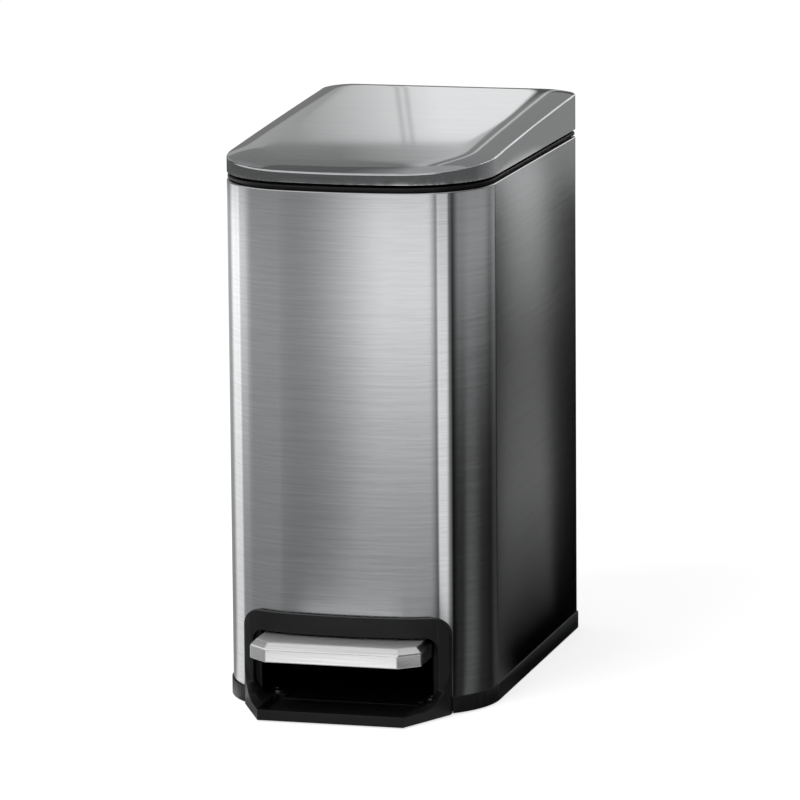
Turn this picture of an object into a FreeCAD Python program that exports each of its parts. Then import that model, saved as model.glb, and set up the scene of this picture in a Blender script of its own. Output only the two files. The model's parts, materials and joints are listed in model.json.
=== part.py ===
import FreeCAD, Part
import math
import os
import re
from collections import namedtuple

import Sketcher

# Pedal bin with a soft-closing lid. Millimetres, +Z up, the front faces -Y.
# The origin is on the floor, under the middle of the bin's bounding box.

doc = FreeCAD.newDocument("pedal_bin")

# Driving dimensions, by the piece that carries them
SIZES = {
    # Plan of the body
    "body_width": 142.6,
    "body_depth": 234.0,
    "front_bow_radius": 231.0,
    "front_corner_radius": 46.2,
    "rear_corner_radius": 11.0,
    # Outer shell
    "shell_height": 264.8,
    "shell_wall": 0.8,
    "hem_width": 2.0,
    "hem_height": 3.0,
    "hem_round": 0.7,
    # Base tray
    "base_band_height": 8.4,
    "base_proud": 0.8,
    "base_floor": 2.4,
    "rim_height": 14.0,
    "rim_wall": 2.0,
    "shell_fit": 0.2,
    "rib_height": 3.0,
    "rib_wall": 1.6,
    "rib_inset": 20.0,
    "post_wall": 4.0,
    "post_radius": 6.0,
    "post_gap": 0.8,
    # Rubber feet
    "feet_stand": 0.8,
    "feet_sink": 1.0,
    "feet_radius": 6.0,
    "feet_fit": 0.15,
    "rear_feet_setback": 22.0,
    "rear_feet_spread": 96.0,
    "front_feet_spread": 52.0,
    "front_feet_setback": 11.0,
    # Pedal surround and its toe shoe
    "foot_reach": 24.5,
    "lip_width": 78.0,
    "lip_height": 5.4,
    "lip_wall": 2.6,
    "shoe_width": 111.2,
    "shoe_depth": 16.0,
    "shoe_floor": 2.0,
    "shoe_fit": 0.3,
    "cheek_sweep": 20.0,
    "arch_proud": 3.2,
    "arch_gap": 0.2,
    "arch_top_band": 10.1,
    "arch_side_band": 6.1,
    "arch_round": 9.5,
    "opening_round": 6.0,
    "well_round": 10.0,
    "sleeve_wall": 2.0,
    "sleeve_depth": 2.8,
    "tab_length": 14.0,
    "tab_width": 12.0,
    "tab_spread": 84.0,
    "tab_wall": 2.0,
    # Top collar
    "ring_gap": 1.2,
    "ring_height": 1.4,
    "ring_inset": 0.4,
    "collar_skirt": 14.0,
    "collar_wall": 1.6,
    "mouth_inset": 7.0,
    "mouth_corner": 14.0,
    "ledge_drop": 6.5,
    "ledge_width": 3.0,
    "duct_depth": 38.0,
    # Inner bucket
    "bucket_wall": 1.6,
    "bucket_gap": 0.8,
    "bucket_taper": 5.0,
    "bucket_clear": 6.0,
    "bucket_rim": 1.8,
    "grip_length": 46.0,
    "grip_height": 14.0,
    "grip_drop": 14.0,
    # Mechanism cover
    "cover_wall": 2.0,
    "cover_side_gap": 5.0,
    "cover_flange": 20.0,
    "cover_foot": 12.0,
    "cover_top_gap": 0.3,
    "cover_slot_play": 4.0,
    # Lid
    "lid_gap": 1.5,
    "lid_front_height": 6.0,
    "lid_rear_height": 21.9,
    "lid_wall": 0.9,
    "crown_run": 16.0,
    "crown_drop": 3.0,
    "crease_round": 1.2,
    "liner_wall": 1.8,
    "liner_rise": 1.2,
    "liner_fit": 0.3,
    "liner_rib": 2.0,
    "bumper_radius": 2.4,
    "bumper_inset": 4.0,
    "bumper_gap": 0.3,
    "bumper_front": 62.0,
    "bumper_pitch": 96.0,
    # Lid hinge
    "lid_open_angle": 80.0,
    "hinge_inset": 5.5,
    "hinge_rise": 15.0,
    "hinge_pin_diameter": 4.0,
    "block_radius": 4.4,
    "block_width": 69.0,
    "block_opening": 26.0,
    "block_depth": 16.0,
    "hinge_side_gap": 0.6,
    "hinge_top_gap": 4.4,
    "ear_width": 3.4,
    "ear_radius": 4.2,
    "ear_foot": 26.0,
    "ear_heel": 8.0,
    "running_fit": 0.08,
    # Lid crank and push rod
    "crank_reach": 20.0,
    "crank_width": 6.0,
    "crank_wall": 2.2,
    "crank_play": 1.4,
    "crank_end_play": 0.5,
    "crank_flange_width": 20.0,
    "crank_flange_length": 16.0,
    "crank_flange_wall": 2.0,
    "notch_gap": 0.5,
    "rod_diameter": 4.0,
    "rod_offset": 9.5,
    "rod_bend": 5.0,
    "rod_overhang": 3.2,
    # Pedal lever and axle
    "axle_setback": 72.0,
    "axle_diameter": 5.0,
    "lever_ground_gap": 0.5,
    "lever_end_radius": 5.5,
    "lever_half_depth": 6.0,
    "lever_width": 60.0,
    "lever_arm_width": 6.0,
    "lever_bridge": 12.0,
    "lever_tail_width": 6.0,
    "lever_plate": 3.0,
    "lever_knee": 11.0,
    "lever_slot_run": 1.8,
    "lever_slot_play": 0.5,
    # Pedal cap
    "toe_reach": 22.0,
    "toe_clearance": 1.8,
    "cap_front_width": 71.0,
    "cap_width": 92.0,
    "cap_corner_depth": 9.0,
    "cap_length": 31.0,
    "cap_height": 10.3,
    "cap_bevel": 3.2,
    "cap_wall": 1.4,
    "cap_fit": 0.2,
    "pedal_gap": 1.3,
    # Soft-close damper
    "damper_offset": 24.0,
    "damper_radius": 6.0,
    "damper_wall": 1.2,
    "damper_end": 3.0,
    "damper_spare": 3.0,
    "piston_length": 8.0,
    "piston_rod_radius": 1.8,
    "bracket_height": 24.0,
    "bracket_width": 17.0,
    "bracket_socket": 8.0,
    "link_gap": 8.0,
    "link_height": 6.0,
    "link_width": 9.0,
    "seat_fit": 0.04,
    # Rod guide
    "guide_height": 8.0,
    "guide_width": 12.0,
    "guide_rise": 150.0,
    "guide_fit": 0.3,
    # Clips and screws
    "clip_wall": 1.0,
    "clip_width": 1.8,
    "clip_side_gap": 0.4,
    "screw_radius": 1.4,
    "screw_head_radius": 2.8,
    "screw_head_height": 1.6,
    "crank_screw_head_radius": 2.2,
    # Every cut runs past the faces it opens by this much
    "overrun": 1.0,
}

# Places and levels that follow from the driving dimensions, in order
LAYOUT = {
    "front_y": "-(body_depth + base_proud - foot_reach) / 2",
    "rear_y": "front_y + body_depth",
    "bow_y": "front_y + front_bow_radius",
    "bow_to_corner": "front_bow_radius - front_corner_radius",
    "corner_x": "body_width / 2 - front_corner_radius",
    "corner_y": "bow_y - sqrt(bow_to_corner ^ 2 - corner_x ^ 2)",
    "floor_top": "feet_stand + base_floor",
    "base_top": "feet_stand + base_band_height",
    "rim_top": "base_top + rim_height",
    "rim_outer": "-(shell_wall + shell_fit)",
    "rim_inner": "rim_outer - rim_wall",
    "shell_top": "base_top + shell_height",
    "ring_bottom": "shell_top + ring_gap",
    "ring_top": "ring_bottom + ring_height",
    "ledge_top": "ring_top - ledge_drop",
    "ledge_bottom": "ledge_top - collar_wall",
    "mouth_rear": "rear_y - duct_depth",
    "lid_bottom": "ring_top + lid_gap",
    "lid_top": "lid_bottom + lid_rear_height",
    "lid_crease": "lid_bottom + lid_front_height",
    "crown_slope": "2 * crown_drop / crown_run",
    "crease_cos": "crown_slope / sqrt(1 + crown_slope ^ 2)",
    "crease_sin": "1 / sqrt(1 + crown_slope ^ 2)",
    "crease_half_cos": "sqrt((1 + crease_cos) / 2)",
    "crease_half_sin": "sqrt((1 - crease_cos) / 2)",
    "crown_reach": "crown_run + crease_round * (1 - crease_cos)",
    "crown_rise": "crown_drop - crease_round * (1 - crease_sin)",
    "lid_slope": "(lid_top - lid_crease - crown_rise) / (body_depth - crown_reach)",
    "liner_bottom": "lid_bottom + liner_rise",
    "liner_top": "liner_bottom + liner_wall",
    "hinge_y": "rear_y - hinge_inset",
    "hinge_z": "lid_bottom + hinge_rise",
    "ear_inner": "block_width / 2 + hinge_side_gap",
    "ear_outer": "ear_inner + ear_width",
    "rod_y": "hinge_y - crank_reach",
    "rod_radius": "rod_diameter / 2",
    "half_stroke": "crank_reach * tan(lid_open_angle / 2)",
    "crank_cos": "cos(lid_open_angle / 2)",
    "crank_sin": "sin(lid_open_angle / 2)",
    "crank_slot_half": "rod_radius + crank_play",
    "crank_slot_near": "crank_reach - crank_end_play",
    "crank_slot_far": "crank_reach / crank_cos + crank_end_play",
    "notch_front": "rod_y - crank_slot_half - clip_width - notch_gap",
    "notch_left": "-(crank_width / 2 + rod_overhang + notch_gap)",
    "notch_right": "rod_offset + rod_radius + notch_gap",
    "liner_rear": "hinge_y - block_depth - hinge_side_gap",
    "axle_y": "front_y + axle_setback",
    "axle_z": "floor_top + lever_ground_gap + lever_end_radius + half_stroke",
    "lever_rear_arm": "rod_y - axle_y",
    "lever_tilt": "half_stroke / lever_rear_arm",
    "toe_drop": "(axle_setback + toe_reach) * 2 * lever_tilt / (1 + lever_tilt ^ 2)",
    "rod_top_z": "hinge_z - half_stroke",
    "rod_bottom_z": "axle_z - half_stroke",
    "lip_y": "front_y - foot_reach",
    "lip_top": "feet_stand + lip_height",
    "shoe_half": "shoe_width / 2",
    "shoe_rear": "front_y + shoe_depth",
    "toe_y": "front_y - toe_reach",
    "cap_bottom": "lip_top + toe_clearance + toe_drop",
    "cap_top": "cap_bottom + cap_height",
    "cap_rear": "toe_y + cap_length",
    "opening_half": "shoe_half - arch_side_band",
    "opening_top": "cap_top + pedal_gap",
    "arch_top": "opening_top + arch_top_band",
    "sleeve_half": "opening_half + sleeve_wall",
    "sleeve_top": "opening_top + sleeve_wall",
    "sleeve_round": "opening_round + sleeve_wall",
    "lever_top": "cap_top - cap_wall - cap_fit",
    "bucket_bottom": "axle_z + half_stroke + lever_end_radius + bucket_clear",
    "bucket_inset": "-(mouth_inset + ledge_width + bucket_gap)",
    "bucket_rear": "mouth_rear - ledge_width - bucket_gap",
    "cover_y": "mouth_rear",
    "cover_half": "body_width / 2 - cover_side_gap",
    "bracket_top": "floor_top + bracket_height",
    "cylinder_bottom": "bracket_top - bracket_socket",
    "cylinder_length": "2 * half_stroke + piston_length + 2 * (damper_spare + damper_end)",
    "cylinder_top": "cylinder_bottom + cylinder_length",
    "piston_bottom": "cylinder_bottom + damper_end + damper_spare",
    "link_bottom": "cylinder_top + link_gap",
    "link_top": "link_bottom + link_height",
}

WORD = re.compile(r"[A-Za-z_]\w*")
# How far off a level an edge may lie and still be picked, as a share of the overrun
PICK_SHARE = 0.001
# Bands of the lid's crown between the crease and the flat top
CROWN_STEPS = 3


def bound(text):
    """Turn plain size names into references to the two sheets' cells."""
    def cell(match):
        name = match.group(0)
        if name in SIZES:
            return "Sizes." + name
        return "Layout." + name if name in LAYOUT else name
    return WORD.sub(cell, text)


def make_sheet(name, cells):
    sheet = doc.addObject("Spreadsheet::Sheet", name)
    for row, (alias, content) in enumerate(cells.items(), start=1):
        sheet.set("A%d" % row, alias)
        sheet.set("B%d" % row, content)
        sheet.setAlias("B%d" % row, alias)
    doc.recompute()
    return sheet


sizes_sheet = make_sheet("Sizes", {name: str(size) for name, size in SIZES.items()})
layout_sheet = make_sheet("Layout", {name: "=" + bound(text) for name, text in LAYOUT.items()})


def value(text):
    return float(layout_sheet.evalExpression(bound(text)))


# Outline vocabulary. A corner starts a straight edge, or an arc when it has a radius.
Corner = namedtuple("Corner", "x y radius turn")
Circle = namedtuple("Circle", "x y radius")


def line(x, y):
    return Corner(x, y, None, 1)


def arc(x, y, radius):
    """The edge to the next corner is an arc that turns left."""
    return Corner(x, y, radius, 1)


def back_arc(x, y, radius):
    """The edge to the next corner is an arc that turns right."""
    return Corner(x, y, radius, -1)


def rectangle(x_low, y_low, x_high, y_high):
    return [line(x_low, y_low), line(x_high, y_low), line(x_high, y_high), line(x_low, y_high)]


def slot(y_low, y_high, z_middle, half):
    """Level obround with round ends, each end made of two quarter arcs."""
    return [
        line(y_low, f"{z_middle} - ({half})"),
        arc(y_high, f"{z_middle} - ({half})", half),
        arc(f"{y_high} + {half}", z_middle, half),
        line(y_high, f"{z_middle} + {half}"),
        arc(y_low, f"{z_middle} + {half}", half),
        arc(f"{y_low} - ({half})", z_middle, half),
    ]


def edge_between(start, end, corner):
    first = FreeCAD.Vector(*start, 0)
    last = FreeCAD.Vector(*end, 0)
    if corner.radius is None:
        return Part.LineSegment(first, last)
    radius = value(corner.radius)
    chord = last - first
    rise = math.sqrt(max(radius ** 2 - (chord.Length / 2) ** 2, 0))
    side = FreeCAD.Vector(-chord.y, chord.x, 0).normalize() * corner.turn
    centre = (first + last) * 0.5 + side * rise
    if corner.turn < 0:
        first, last = last, first
    angles = [math.atan2(end_point.y - centre.y, end_point.x - centre.x) for end_point in (first, last)]
    return Part.ArcOfCircle(Part.Circle(centre, FreeCAD.Vector(0, 0, 1), radius), *angles)


def bind_constraint(sketch, kind, *args):
    text = args[-1]
    index = sketch.addConstraint(Sketcher.Constraint(kind, *args[:-1], value(text)))
    sketch.setExpression("Constraints[%d]" % index, bound(text))


def draw(sketch, loop, closed=True):
    """Draw one outline and bind each of its corners and radii to the sheets."""
    if isinstance(loop, Circle):
        centre = FreeCAD.Vector(value(loop.x), value(loop.y), 0)
        ring = sketch.addGeometry(Part.Circle(centre, FreeCAD.Vector(0, 0, 1), value(loop.radius)))
        bind_constraint(sketch, "DistanceX", -1, 1, ring, 3, loop.x)
        bind_constraint(sketch, "DistanceY", -1, 1, ring, 3, loop.y)
        bind_constraint(sketch, "Radius", ring, loop.radius)
        return
    points = [(value(corner.x), value(corner.y)) for corner in loop]
    count = len(loop) if closed else len(loop) - 1
    edges = []
    for i in range(count):
        edge = edge_between(points[i], points[(i + 1) % len(loop)], loop[i])
        edges.append(sketch.addGeometry(edge))
    for i in range(count):
        start, end = (1, 2) if loop[i].turn > 0 else (2, 1)
        if closed or i > 0:
            last_end = 2 if loop[i - 1].turn > 0 else 1
            sketch.addConstraint(Sketcher.Constraint("Coincident", edges[i - 1], last_end, edges[i], start))
        bind_constraint(sketch, "DistanceX", -1, 1, edges[i], start, loop[i].x)
        bind_constraint(sketch, "DistanceY", -1, 1, edges[i], start, loop[i].y)
        if loop[i].radius is not None:
            bind_constraint(sketch, "Radius", edges[i], loop[i].radius)
    if not closed:
        bind_constraint(sketch, "DistanceX", -1, 1, edges[-1], end, loop[-1].x)
        bind_constraint(sketch, "DistanceY", -1, 1, edges[-1], end, loop[-1].y)


bodies = []


def new_body(label):
    body = doc.addObject("PartDesign::Body", label)
    body.Label = label
    bodies.append(body)
    return body


def new_sketch(body, plane, level, *loops, closed=True):
    """Sketch on one of the body's own origin planes, moved to a level along world X, Y or Z."""
    sketch = body.newObject("Sketcher::SketchObject", body.Name + "_sketch")
    origin_plane = [item for item in body.Origin.OriginFeatures if item.Role == plane + "_Plane"][0]
    sketch.AttachmentSupport = [(origin_plane, "")]
    sketch.MapMode = "FlatFace"
    sketch.setExpression("AttachmentOffset.Base.z", bound(f"-({level})" if plane == "XZ" else level))
    for loop in loops:
        draw(sketch, loop, closed)
    return sketch


def add(body, plane, low, high, *loops):
    """Pad outlines from one level to another along the plane's world axis."""
    sketch = new_sketch(body, plane, high if plane == "XZ" else low, *loops)
    pad = body.newObject("PartDesign::Pad", body.Name + "_pad")
    pad.Profile = sketch
    pad.setExpression("Length", bound(f"{high} - ({low})"))
    doc.recompute()
    return pad


def cut(body, plane, low, high, *loops):
    """Pocket outlines from one level to another. Fails when nothing is cut away."""
    before = body.Shape.Volume
    sketch = new_sketch(body, plane, low if plane == "XZ" else high, *loops)
    pocket = body.newObject("PartDesign::Pocket", body.Name + "_pocket")
    pocket.Profile = sketch
    pocket.setExpression("Length", bound(f"{high} - ({low})"))
    doc.recompute()
    if body.Shape.Volume >= before:
        raise RuntimeError(body.Label + ": a pocket cut nothing")
    return pocket


def loft(body, kind, *sections):
    """Loft through level outlines, each given with its height. Two outlines are joined by straight walls."""
    sketches = [new_sketch(body, "XY", level, loop) for level, loop in sections]
    feature = body.newObject("PartDesign::" + kind, body.Name + "_loft")
    feature.Profile = sketches[0]
    feature.Sections = sketches[1:]
    feature.Ruled = len(sections) == 2
    doc.recompute()


def edges_of(feature, wanted):
    return ["Edge%d" % (i + 1) for i, edge in enumerate(feature.Shape.Edges) if wanted(edge)]


def dress(body, kind, feature, wanted, **sizes):
    """Fillet or chamfer the edges that pass the test."""
    tool = body.newObject("PartDesign::" + kind, body.Name + "_" + kind.lower())
    tool.Base = (feature, edges_of(feature, wanted))
    for name, text in sizes.items():
        tool.setExpression(name, bound(text))
    return tool


def at(text, number):
    return abs(value(text) - number) < value("overrun") * PICK_SHARE


def edge_at(edge, **wanted):
    """True when every point of the edge has the wanted box limits, such as ZMin and ZMax."""
    box = edge.BoundBox
    return all(at(text, getattr(box, name)) for name, text in wanted.items())


# Plan outlines shared by the shell, base, collar, bucket and lid
def bow_x(offset):
    return f"corner_x * (front_bow_radius + {offset}) / bow_to_corner"


def bow_point_y(offset):
    return f"bow_y + (corner_y - bow_y) * (front_bow_radius + {offset}) / bow_to_corner"


def plan(offset="0", rear=None, rear_radius=None):
    """Body outline grown by an offset, with its straight rear edge and rear corners."""
    rear = rear or f"rear_y + ({offset})"
    radius = rear_radius or f"rear_corner_radius + ({offset})"
    grow = f"({offset})"
    half = f"(body_width / 2 + {grow})"
    bow = f"front_bow_radius + {grow}"
    corner = f"front_corner_radius + {grow}"
    return [
        arc(f"-{bow_x(grow)}", bow_point_y(grow), bow),
        arc(bow_x(grow), bow_point_y(grow), corner),
        line(half, "corner_y"),
        arc(half, f"{rear} - ({radius})", radius),
        line(f"{half} - ({radius})", rear),
        arc(f"-{half} + {radius}", rear, radius),
        line(f"-{half}", f"{rear} - ({radius})"),
        arc(f"-{half}", "corner_y", corner),
    ]


def corner_arc_y(offset, x):
    """How far back the front corner lies at a given distance from the middle."""
    return f"corner_y - sqrt((front_corner_radius + {offset}) ^ 2 - ({x} - corner_x) ^ 2)"


def front_run(offset, half):
    """The bowed front from left to right, between two equal distances from the middle."""
    end_y = corner_arc_y(offset, half)
    bow = f"front_bow_radius + {offset}"
    corner = f"front_corner_radius + {offset}"
    return [
        arc(f"-({half})", end_y, corner),
        arc(f"-{bow_x(offset)}", bow_point_y(offset), bow),
        arc(bow_x(offset), bow_point_y(offset), corner),
        line(half, end_y),
    ]


def turned_back(run):
    """The same run from right to left, so that it can close another run."""
    corners = []
    for i in range(len(run) - 1, -1, -1):
        radius = run[i - 1].radius if i > 0 else None
        corners.append(Corner(run[i].x, run[i].y, radius, -1 if radius else 1))
    return corners


def front_strip(outer, inner, half):
    return front_run(outer, half) + turned_back(front_run(inner, half))


def ring_clip(label, x, inner_radius, y, z):
    """Pair of retaining rings on one shaft, each just outside the distance x."""
    body = new_body(label)
    for low, high in ((f"{x}", f"{x} + clip_wall"), (f"-({x}) - clip_wall", f"-({x})")):
        rim = Circle(y, z, f"{inner_radius} + clip_width")
        add(body, "YZ", low, high, rim, Circle(y, z, inner_radius))
    return body


def cap_outline(inset):
    """Tread seen from above: narrow front, slanted ends, straight rear."""
    slant = "sqrt((cap_width / 2 - cap_front_width / 2) ^ 2 + cap_corner_depth ^ 2)"
    lean = "((cap_width - cap_front_width) / 2 / cap_corner_depth)"
    side = f"({inset}) * {slant} / cap_corner_depth"
    front_half = f"cap_front_width / 2 + ({inset}) * {lean} - {side}"
    half = f"cap_width / 2 - ({inset})"
    knee = f"toe_y + cap_corner_depth - ({inset}) / {lean} + {side} / {lean}"
    rear = "cap_rear" if inset == "0" else "cap_rear + overrun"
    return [
        line(f"-({front_half})", f"toe_y + {inset}"),
        line(front_half, f"toe_y + {inset}"),
        line(half, knee),
        line(half, rear),
        line(f"-({half})", rear),
        line(f"-({half})", knee),
    ]


def build_outer_shell():
    shell = new_body("outer_shell")
    add(shell, "XY", "base_top", "shell_top", plan(), plan("-shell_wall"))
    hem = add(shell, "XY", "shell_top - hem_height", "shell_top", plan(), plan("-hem_width"))
    dress(shell, "Fillet", hem, lambda edge: edge_at(edge, ZMin="shell_top", ZMax="shell_top"),
          Radius="hem_round")
    doc.recompute()
    half = "sleeve_half + shoe_fit"
    height = "sleeve_top + shoe_fit"
    corner = "(sleeve_round + shoe_fit)"
    cut(shell, "XZ", "front_y - overrun", "corner_y", [
        line(f"-({half})", "base_top - overrun"),
        line(half, "base_top - overrun"),
        arc(half, f"{height} - {corner}", corner),
        line(f"{half} - {corner}", height),
        arc(f"-({half}) + {corner}", height, corner),
        line(f"-({half})", f"{height} - {corner}"),
    ])


def build_base_tray():
    base = new_body("base_tray")
    add(base, "XY", "feet_stand", "base_top", plan("base_proud"))
    cut(base, "XY", "floor_top", "base_top", plan("rim_inner"))
    add(base, "XY", "base_top", "rim_top", plan("rim_outer"), plan("rim_inner"))
    post_inner = "lever_width / 2 + post_gap"
    post = [
        line("axle_y - post_radius", "floor_top"),
        line("axle_y + post_radius", "floor_top"),
        arc("axle_y + post_radius", "axle_z", "post_radius"),
        arc("axle_y", "axle_z + post_radius", "post_radius"),
        line("axle_y - post_radius", "axle_z"),
    ]
    add(base, "YZ", post_inner, f"{post_inner} + post_wall", post)
    add(base, "YZ", f"-({post_inner}) - post_wall", f"-({post_inner})", post)
    rib_low = f"{post_inner} + post_wall / 2 - rib_wall / 2"
    rib_rear = "cover_y - cover_foot - overrun"
    for low, high in ((rib_low, f"{rib_low} + rib_wall"), (f"-({rib_low}) - rib_wall", f"-({rib_low})")):
        add(base, "XY", "floor_top", "floor_top + rib_height",
            rectangle(low, "axle_y + post_radius / 2", high, rib_rear))
    rim_half = "body_width / 2 + rim_inner"
    for y in ("axle_y + rib_inset", "axle_y + 2 * rib_inset", "axle_y + 3 * rib_inset"):
        add(base, "XY", "floor_top", "floor_top + rib_height",
            rectangle(rib_low, y, rim_half, f"{y} + rib_wall"),
            rectangle(f"-({rim_half})", y, f"-({rib_low})", f"{y} + rib_wall"))
    half = "shoe_half + shoe_fit"
    sleeve_rear = corner_arc_y("-sleeve_depth", "sleeve_half")
    cut(base, "XY", "feet_stand - overrun", "rim_top + overrun",
        rectangle(f"-({half})", "lip_y", half, f"max(shoe_rear; {sleeve_rear}) + shoe_fit"))
    cut(base, "YZ", f"-({post_inner}) - post_wall - overrun", f"{post_inner} + post_wall + overrun",
        Circle("axle_y", "axle_z", "axle_diameter / 2 + seat_fit"))
    cut(base, "XY", "feet_stand", "feet_stand + feet_sink", *rear_feet("feet_radius + feet_fit"))
    cut(base, "XY", "feet_stand", "floor_top + overrun", *screw_places("screw_radius + seat_fit"))


def rear_feet(radius):
    y = "rear_y - rear_feet_setback"
    return [Circle(x, y, radius) for x in ("-rear_feet_spread / 2", "rear_feet_spread / 2")]


def front_feet(radius):
    y = "lip_y + front_feet_setback"
    return [Circle(x, y, radius) for x in ("-front_feet_spread / 2", "front_feet_spread / 2")]


def surround_screw_places(radius):
    y = "shoe_rear + shoe_fit + tab_length / 2"
    return [Circle(x, y, radius) for x in ("-tab_spread / 2", "tab_spread / 2")]


def cover_screw_places(radius):
    y = "cover_y - cover_foot / 2"
    return [Circle(x, y, radius) for x in ("-tab_spread / 2", "tab_spread / 2")]


def screw_places(radius):
    return surround_screw_places(radius) + cover_screw_places(radius)


def build_rubber_feet():
    feet = new_body("rubber_feet")
    places = rear_feet("feet_radius") + front_feet("feet_radius")
    pads = add(feet, "XY", "0", "feet_stand + feet_sink", *places)
    dress(feet, "Chamfer", pads, lambda edge: edge_at(edge, ZMin="0", ZMax="0"), Size="feet_stand / 2")


def corner_waste(side, half, top, radius):
    """Waste outside one rounded upper corner of an arch."""
    turn = arc if side > 0 else back_arc
    inner = f"{side} * ({half} - {radius})"
    outer = f"{side} * ({half} + overrun)"
    return [
        turn(f"{side} * {half}", f"{top} - {radius}", radius),
        line(inner, top),
        line(inner, f"{top} + overrun"),
        line(outer, f"{top} + overrun"),
        line(outer, f"{top} - {radius}"),
    ]


def round_arch(body, half, top, radius):
    cut(body, "XZ", "lip_y", "corner_y",
        corner_waste(1, half, top, radius), corner_waste(-1, half, top, radius))


def build_pedal_surround():
    surround = new_body("pedal_surround")
    outer = "arch_proud"
    flare_y = corner_arc_y(outer, "shoe_half")
    shoe = [line("-lip_width / 2", "lip_y"), line("lip_width / 2", "lip_y")]
    add(surround, "XY", "feet_stand", "lip_top + cheek_sweep",
        shoe + turned_back(front_run(outer, "shoe_half")))
    cut(surround, "YZ", "-shoe_half - overrun", "shoe_half + overrun", [
        line("lip_y - overrun", "lip_top"),
        arc(f"{flare_y} - cheek_sweep", "lip_top", "cheek_sweep"),
        line(flare_y, "lip_top + cheek_sweep"),
        line(flare_y, "lip_top + cheek_sweep + overrun"),
        line("lip_y - overrun", "lip_top + cheek_sweep + overrun"),
    ])
    add(surround, "XY", "feet_stand", "sleeve_top", front_strip("arch_gap", "-sleeve_depth", "sleeve_half"))
    round_arch(surround, "sleeve_half", "sleeve_top", "sleeve_round")
    add(surround, "XY", "feet_stand", "arch_top", front_strip(outer, "arch_gap", "shoe_half"))
    round_arch(surround, "shoe_half", "arch_top", "arch_round")
    floor_front = "front_y - arch_proud"
    add(surround, "XY", "feet_stand", "feet_stand + shoe_floor",
        rectangle("-opening_half", floor_front, "opening_half", "shoe_rear"))
    for middle in ("-tab_spread / 2", "tab_spread / 2"):
        low = f"{middle} - tab_width / 2"
        high = f"{middle} + tab_width / 2"
        add(surround, "XY", "feet_stand", "floor_top + tab_wall",
            rectangle(low, "shoe_rear - tab_width / 2", high, "shoe_rear"))
        add(surround, "XY", "floor_top", "floor_top + tab_wall",
            rectangle(low, "shoe_rear", high, "shoe_rear + shoe_fit + tab_length"))
    cut(surround, "XZ", "lip_y - overrun", "shoe_rear - tab_width / 2", [
        arc("-opening_half", "lip_top + well_round", "well_round"),
        line("-opening_half + well_round", "lip_top"),
        arc("opening_half - well_round", "lip_top", "well_round"),
        line("opening_half", "lip_top + well_round"),
        arc("opening_half", "opening_top - opening_round", "opening_round"),
        line("opening_half - opening_round", "opening_top"),
        arc("-opening_half + opening_round", "opening_top", "opening_round"),
        line("-opening_half", "opening_top - opening_round"),
    ])
    well_half = "opening_half - well_round"
    cut(surround, "XY", "feet_stand + shoe_floor", "lip_top + overrun",
        rectangle(f"-({well_half})", "lip_y + lip_wall", well_half, "shoe_rear + overrun"))
    cut(surround, "XY", "feet_stand", "feet_stand + feet_sink", *front_feet("feet_radius + feet_fit"))
    cut(surround, "XY", "floor_top", "floor_top + tab_wall + overrun",
        *surround_screw_places("screw_radius + seat_fit"))


def build_screws():
    for label, places, seat in (
        ("surround_screws", surround_screw_places, "floor_top + tab_wall"),
        ("cover_screws", cover_screw_places, "floor_top + cover_wall"),
    ):
        screws = new_body(label)
        add(screws, "XY", "feet_stand", seat, *places("screw_radius"))
        heads = add(screws, "XY", seat, f"{seat} + screw_head_height", *places("screw_head_radius"))
        crown = f"{seat} + screw_head_height"
        dress(screws, "Fillet", heads, lambda edge: edge_at(edge, ZMin=crown, ZMax=crown),
              Radius="screw_head_height / 2")


def build_top_collar():
    collar = new_body("top_collar")
    mouth = plan("-mouth_inset", "mouth_rear", "mouth_corner")
    wall_outer = plan("-mouth_inset + collar_wall", "mouth_rear + collar_wall", "mouth_corner + collar_wall")
    ledge_inner = plan("-mouth_inset - ledge_width", "mouth_rear - ledge_width", "mouth_corner - ledge_width")
    ring = add(collar, "XY", "ring_bottom", "ring_top", plan("-ring_inset"), mouth)
    dress(collar, "Fillet", ring,
          lambda edge: edge_at(edge, ZMin="ring_top", ZMax="ring_top") and not on_mouth(edge),
          Radius="ring_height / 3")
    doc.recompute()
    add(collar, "XY", "ring_bottom - collar_skirt", "ring_bottom", plan("rim_outer - hem_width + shell_wall"),
        plan("rim_outer - hem_width + shell_wall - collar_wall"))
    add(collar, "XY", "ledge_bottom", "ring_bottom", wall_outer, mouth)
    add(collar, "XY", "ledge_bottom", "ledge_top", wall_outer, ledge_inner)
    block = [
        line("hinge_y - block_depth", "ring_top"),
        line("hinge_y + block_radius", "ring_top"),
        arc("hinge_y + block_radius", "hinge_z", "block_radius"),
        arc("hinge_y", "hinge_z + block_radius", "block_radius"),
        line("hinge_y - block_radius", "hinge_z"),
    ]
    add(collar, "YZ", "block_opening / 2", "block_width / 2", block)
    add(collar, "YZ", "-block_width / 2", "-block_opening / 2", block)
    cut(collar, "XY", "ring_bottom - collar_skirt", "ring_top + overrun",
        rectangle("-block_opening / 2", "mouth_rear + collar_wall", "block_opening / 2", "hinge_y"))
    cut(collar, "YZ", "-block_width / 2 - overrun", "block_width / 2 + overrun",
        Circle("hinge_y", "hinge_z", "hinge_pin_diameter / 2 + seat_fit"))


def on_mouth(edge):
    """True for the edges round the bucket mouth, which lie well inside the outline."""
    box = edge.BoundBox
    inside = value("body_width / 2 - mouth_inset") + value("ring_inset")
    low = value("front_y + mouth_inset - ring_inset")
    high = value("mouth_rear + ring_inset")
    return max(abs(box.XMin), abs(box.XMax)) < inside and box.YMin > low and box.YMax < high


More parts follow.
